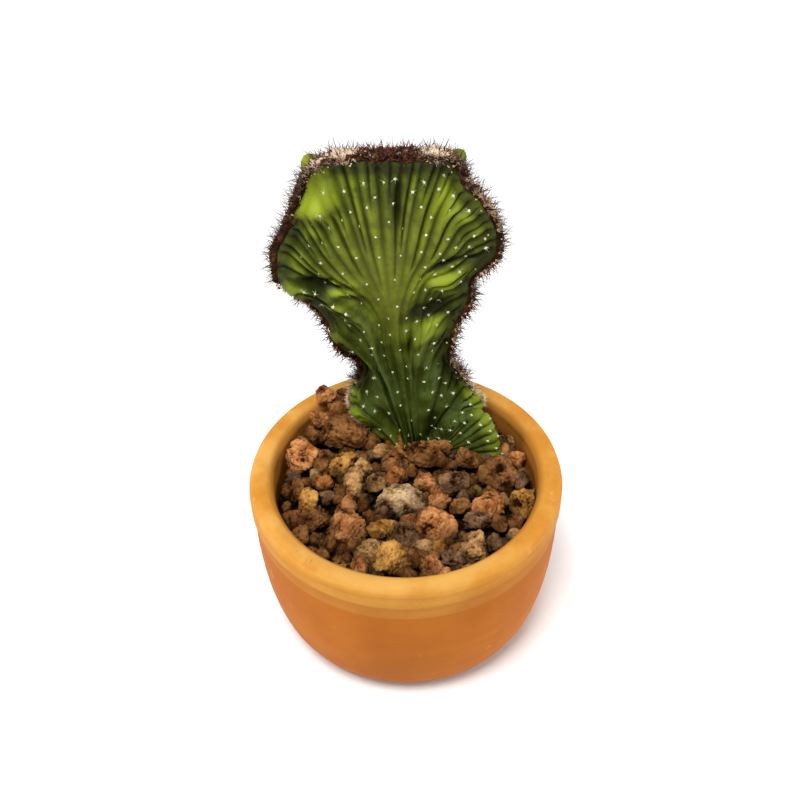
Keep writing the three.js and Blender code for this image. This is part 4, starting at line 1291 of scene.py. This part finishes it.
def terracotta():
    """Unglazed clay: warm orange with soft clouds, turning rings and grooves, thin scratches and pale chalky
    marks.
    A paler collar and rim top over a darker body are partly the clay's own tone and partly painted light from
    above, and the inside wall is darkened with painted shade and stained streaks."""
    f = Finish("terracotta", Specular_IOR_Level=0.11)
    where = f.place()
    x, y, z = f.split(where)
    radius = (x * x + y * y) ** 0.5
    cloud = f.noise(where, 26, 4, 0.6)
    rings = f.noise(f.stretched(where, (0.1, 0.1, 1)), 1100, 3, 0.6)
    bands = f.noise(f.stretched(where, (0.06, 0.06, 1)), 260, 2, 0.5)
    speck = f.noise(where, 1300, 3, 0.6)
    base = f.colour(cloud.above(0.36, 0.66), srgb(178, 117, 38), srgb(192, 136, 56))
    clay = f.colour(cloud.above(0.36, 0.66), srgb(160, 88, 16), srgb(172, 98, 22))
    # The collar paler and the body below it darker: partly the clay's own tone, partly painted shade where
    # the body turns away from the light above.
    base = f.colour(1 - z.above(0.0648, 0.0662) * 0.5 - z.above(0.0576, 0.059) * 0.5, base, clay)
    base = f.colour(rings.above(0.5, 0.72) * 0.14, base, srgb(150, 84, 16))
    high = z.above(0.04, 0.06)
    base = f.colour(bands.above(0.46, 0.62) * (0.06 + 0.12 * high), base, srgb(156, 88, 14))
    # Paler patches on the rim's top: partly paler clay, partly painted light where the rim faces up to the
    # lamp.
    base = f.colour(z.above(0.07, 0.0745) * cloud.above(0.4, 0.6) * 0.35, base, srgb(206, 166, 92))
    base = f.colour(speck.above(0.66, 0.74) * 0.5, base, srgb(130, 72, 26))
    scratch = f.noise(f.stretched(where, (1, 1, 0.5)), 210, 1, 0.4, 2.5)
    line = (1 - ((scratch - 0.5) * 60) ** 2).clamp()
    base = f.colour(line * f.noise(where, 48, 2, 0.5).above(0.6, 0.7) * 0.5, base, srgb(140, 76, 22))
    # Darker inside wall above the gravel: painted shade inside the pot, with cloudy streaks of stain.
    inner_shade_and_stain = (1 - radius.above(0.0505, 0.0535)) * z.above(0.05, 0.055)
    base = f.colour(inner_shade_and_stain * (0.55 + 0.35 * cloud.above(0.4, 0.6)), base, srgb(120, 72, 22))
    bloom = f.noise(where, 95, 5, 0.7)
    base = f.colour(bloom.above(0.62, 0.76) * 0.3, base, srgb(226, 184, 116))
    grain = f.noise(where, 2600, 3, 0.6)
    normal = f.bump(bands, 0.3, 0.0008)
    normal = f.bump(rings, 0.2, 0.0003, normal)
    normal = f.bump(grain, 0.25, 0.00015, normal)
    return f.wear(Base_Color=base, Normal=normal, Roughness=0.55 + 0.25 * grain)


def cactus_skin():
    """Waxy skin: olive at the heart, a darker green towards the foot and yellow-green where it is young.
    Painted light on top:
    yellow-green on swellings and ridge flanks that face the lamp, and painted shade, nearly black, in the
    furrows, the hollows and under the wool."""
    f = Finish("cactus_skin", Specular_IOR_Level=0.14)
    where = f.place()
    z = f.split(where)[2]
    inside = f.attribute("from_margin")
    patches = f.noise(where, 120, 3, 0.6)
    fine = f.noise(where, 900, 3, 0.6)
    rim = f.colour(patches.above(0.4, 0.66), srgb(52, 59, 4), srgb(82, 92, 16))
    heart = f.colour(patches.above(0.4, 0.7), srgb(80, 86, 16), srgb(96, 102, 26))
    skin = f.colour(inside.above(0.25, 0.9), rim, heart)
    foot = f.colour(patches.above(0.4, 0.65), srgb(50, 60, 10), srgb(68, 82, 32))
    skin = f.colour(1 - z.above(0.098, 0.13), skin, foot)
    # Yellow-green where the skin is young, and on the front crest partly painted light on swellings and
    # ridges that face the lamp.
    skin = f.colour(f.attribute("young") * 0.9, skin, srgb(154, 170, 30))
    lit = f.attribute("lit_flank") * (0.08 + 0.52 * patches.above(0.35, 0.65)) * z.above(0.085, 0.14)
    skin = f.colour(lit, skin, srgb(122, 136, 28))
    skin = f.colour(fine.above(0.55, 0.75) * 0.2, skin, srgb(132, 144, 56))
    # Painted shade: nearly black in hollows and under the wool.
    skin = f.colour(f.attribute("painted_shade") * 0.9, skin, srgb(26, 28, 2))
    # Painted shade in the furrows.
    skin = f.colour(f.attribute("furrow"), skin, srgb(20, 25, 2))
    pores = f.noise(where, 2400, 2, 0.6)
    normal = f.bump(fine, 0.12, 0.0004)
    normal = f.bump(pores, 0.12, 0.0001, normal)
    return f.wear(Base_Color=skin, Roughness=0.42 + 0.22 * fine, Normal=normal)


def felt(name, dark, light, pale, faded=None):
    """Matted wool: fine mottled fibres of three tones, faded to a fourth where the attribute says."""
    f = Finish(name, Roughness=0.95, Specular_IOR_Level=0.06)
    where = f.place()
    fibre = f.noise(where, 1400, 4, 0.7, 1.5)
    clump = f.noise(where, 260, 3, 0.6)
    base = f.colour(fibre.above(0.38, 0.62), dark, light)
    base = f.colour(clump.above(0.5, 0.68) * 0.8, base, pale)
    if faded:
        base = f.colour(f.attribute("pale") * fibre.above(0.34, 0.54), base, faded)
    normal = f.bump(fibre, 0.8, 0.0006)
    return f.wear(Base_Color=base, Normal=normal)


def horn(name, dark, light):
    """Spines: stiff and horny, darker and lighter from one to the next."""
    f = Finish(name, Specular_IOR_Level=0.4)
    where = f.place()
    tone = f.noise(where, 420, 2, 0.6)
    base = f.colour(tone.above(0.4, 0.62), dark, light)
    return f.wear(Base_Color=base, Roughness=0.4 + 0.3 * tone)


def lava(name, dark, middle, light):
    """Lava rock, with painted shade nearly black in its pits and bubbles and low down between stones, and a
    painted highlight on its high spots.
    """
    f = Finish(name, Specular_IOR_Level=0.04)
    where = f.place()
    z = f.split(where)[2]
    relief = f.attribute("relief")
    blotch = f.noise(where, 190, 4, 0.65)
    grain = f.noise(where, 850, 5, 0.75)
    bend = f.noise(where, 500) * 0.002
    bubbles = f.cells(f.node("VectorMath", {"operation": "ADD"}, {0: where, 1: bend}), 480)
    shade = f.noise(where, 110, 4, 0.65)
    base = f.colour(blotch.above(0.38, 0.62) * 0.6, middle, light)
    # Painted highlight on the high spots of the stone.
    base = f.colour((relief + grain - 0.5).above(-0.1, 0.5) * 0.75, base, light)
    base = f.colour(shade.above(0.44, 0.62) * 0.6, base, middle)
    base = f.colour(shade.above(0.54, 0.72) * 0.5, base, dark)
    # Painted shade in the bubbles.
    hole = (1 - bubbles.above(0.12, 0.36)) * grain.above(0.42, 0.6)
    base = f.colour(hole * 0.4, base, dark)
    # Painted shade in the pits.
    base = f.colour(1 - (relief + grain * 0.8).above(-0.6, 0.4), base, dark)
    base = f.colour((1 - grain.above(0.34, 0.5)) * 0.5, base, dark)
    # Painted shade low down between the stones.
    base = f.colour((1 - z.above(0.058, 0.068)) * 0.97, base, srgb(14, 4, 0))
    height = grain - hole * 0.6
    normal = f.bump(height, 0.9, 0.0011)
    return f.wear(Base_Color=base, Normal=normal, Roughness=0.8 + 0.2 * grain)


def grit():
    """Dark grains between the stones."""
    f = Finish("grit", Roughness=0.95, Specular_IOR_Level=0.05)
    where = f.place()
    grain = f.cells(where, 900)
    tone = f.noise(where, 300, 4, 0.6)
    base = f.colour(tone.above(0.4, 0.65), srgb(18, 9, 4), srgb(44, 26, 14))
    return f.wear(Base_Color=base, Normal=f.bump(grain, 0.9, 0.0008))


def potting_soil():
    """Dark crumbly compost with a few pale grains."""
    f = Finish("potting_soil", Roughness=0.95)
    where = f.place()
    crumb = f.noise(where, 420, 5, 0.7)
    grain = f.cells(where, 700)
    base = f.colour(crumb.above(0.35, 0.65), srgb(30, 20, 14), srgb(74, 52, 36))
    base = f.colour((1 - grain.above(0.08, 0.16)) * 0.5, base, srgb(170, 160, 140))
    return f.wear(Base_Color=base, Normal=f.bump(crumb, 0.9, 0.001))


def build_object():
    """Every piece of the object, each with its finish."""
    make_pot(terracotta())
    skin = cactus_skin()
    surface, front, back = make_crest(skin)
    small = make_second_crest(skin)

    areole = felt("areole_felt", srgb(176, 184, 130), srgb(214, 222, 176), srgb(236, 238, 208))
    ivory = horn("ivory_spines", srgb(190, 186, 150), srgb(236, 232, 205))
    make_areoles(surface, front, back, small, areole, ivory)

    cream = srgb(232, 208, 182)
    brown = felt("brown_felt", srgb(20, 9, 3), srgb(62, 34, 18), srgb(98, 64, 40), cream)
    pale = felt("cream_felt", srgb(150, 116, 86), srgb(222, 194, 164), srgb(240, 222, 198))
    dark = horn("dark_spines", srgb(34, 20, 16), srgb(78, 42, 28))
    red = horn("red_spines", srgb(84, 30, 18), srgb(130, 62, 42))
    straw = horn("straw_spines", srgb(168, 140, 96), srgb(222, 200, 160))
    make_wool(brown)
    make_tufts("brown_wool_tufts", brown, 1500, (0.2, 0.55), lambda t: 1 - pale_chance(t), 51)
    make_tufts("cream_wool_tufts", pale, 3600, (0.14, 0.38), pale_chance, 55)
    make_margin_spines("dark_margin_spines", dark, 320, 6, (4.2, 8.2), (0.13, 0.22), 91, wool_share)
    make_margin_spines("red_margin_spines", red, 700, 7, (2.4, 5.6), (0.12, 0.18), 94, red_chance)
    make_margin_spines("straw_margin_spines", straw, 760, 6, (1.4, 3.4), (0.09, 0.14), 97, straw_chance)
    make_margin_spines("wool_strands", pale, 2200, 7, (0.8, 2.3), (0.09, 0.15), 99, pale_chance)

    tones = {
        "rust": lava("rust_lava", srgb(48, 16, 2), srgb(160, 96, 50), srgb(220, 156, 98)),
        "brown": lava("brown_lava", srgb(34, 14, 1), srgb(102, 62, 30), srgb(162, 112, 64)),
        "tan": lava("tan_lava", srgb(44, 21, 4), srgb(154, 110, 62), srgb(212, 164, 108)),
        "pale": lava("pale_lava", srgb(66, 38, 14), srgb(178, 142, 98), srgb(222, 190, 146)),
        "grey": lava("grey_lava", srgb(30, 15, 5), srgb(98, 68, 44), srgb(154, 116, 84)),
        "ochre": lava("ochre_lava", srgb(50, 23, 3), srgb(168, 112, 48), srgb(222, 166, 90)),
    }
    make_gravel(tones)
    make_bed(grit())
    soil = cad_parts["soil"]
    soil.data.materials.clear()
    soil.data.materials.append(potting_soil())


# Camera, floor and light

CAMERA_DISTANCE = 450.0
CAMERA_ELEVATION = 45.6
CAMERA_ROLL = -1.0
FOCAL_PIXELS = 1176.5
AXIS_PIXEL = (405.5, 469.2)
PHOTO_SIDE = 800.0


def make_camera():
    """The photograph's camera, fitted to the two ellipses of the pot's rim."""
    data = bpy.data.cameras.new("camera")
    data.sensor_width = 36
    data.lens = FOCAL_PIXELS / PHOTO_SIDE * 36
    data.shift_x = (PHOTO_SIDE / 2 - AXIS_PIXEL[0]) / PHOTO_SIDE
    data.shift_y = (AXIS_PIXEL[1] - PHOTO_SIDE / 2) / PHOTO_SIDE
    data.clip_start = 0.01
    camera = bpy.data.objects.new("camera", data)
    bpy.context.scene.collection.objects.link(camera)
    angle = math.radians(CAMERA_ELEVATION)
    camera.location = Vector((0, -math.cos(angle), math.sin(angle))) * CAMERA_DISTANCE * MM
    camera.location.z += POT_HEIGHT * MM
    turn = Matrix.Rotation(math.pi / 2 - angle, 4, "X") @ Matrix.Rotation(math.radians(CAMERA_ROLL), 4, "Z")
    camera.rotation_euler = turn.to_euler()
    bpy.context.scene.camera = camera


def make_floor():
    f = Finish("pale_floor", Roughness=0.9, Base_Color=(0.9, 0.9, 0.9, 1), Specular_IOR_Level=0.1)
    mesh = bpy.data.meshes.new("floor")
    reach = 6.0
    corners = [(-reach, -reach, 0), (reach, -reach, 0), (reach, reach, 0), (-reach, reach, 0)]
    mesh.from_pydata(corners, [], [(0, 1, 2, 3)])
    mesh.materials.append(f.material)
    floor = bpy.data.objects.new("floor", mesh)
    bpy.context.scene.collection.objects.link(floor)


def make_light(name, place, target, size, power):
    data = bpy.data.lights.new(name, "AREA")
    data.shape = "DISK"
    data.size = size
    data.energy = power
    light = bpy.data.objects.new(name, data)
    bpy.context.scene.collection.objects.link(light)
    light.location = place
    light.rotation_euler = (Vector(target) - Vector(place)).to_track_quat("-Z", "Y").to_euler()


def make_lights():
    world = bpy.data.worlds.new("studio")
    bpy.context.scene.world = world
    world.use_nodes = True
    background = world.node_tree.nodes["Background"].inputs
    background["Color"].default_value = (1, 1, 1, 1)
    background["Strength"].default_value = 0.4
    make_light("key", (-0.14, -0.34, 1.05), (0, 0, 0.09), 0.5, 13.6)
    make_light("left", (-0.75, -0.02, 0.1), (0, 0, 0.07), 0.5, 4.2)
    make_light("right", (0.75, -0.02, 0.1), (0, 0, 0.07), 0.5, 4.6)
    make_light("back", (0.1, 0.8, 0.7), (0, 0, 0.1), 0.6, 2.2)


build_object()
make_camera()
make_floor()
make_lights()
bpy.context.scene.view_settings.view_transform = "Standard"
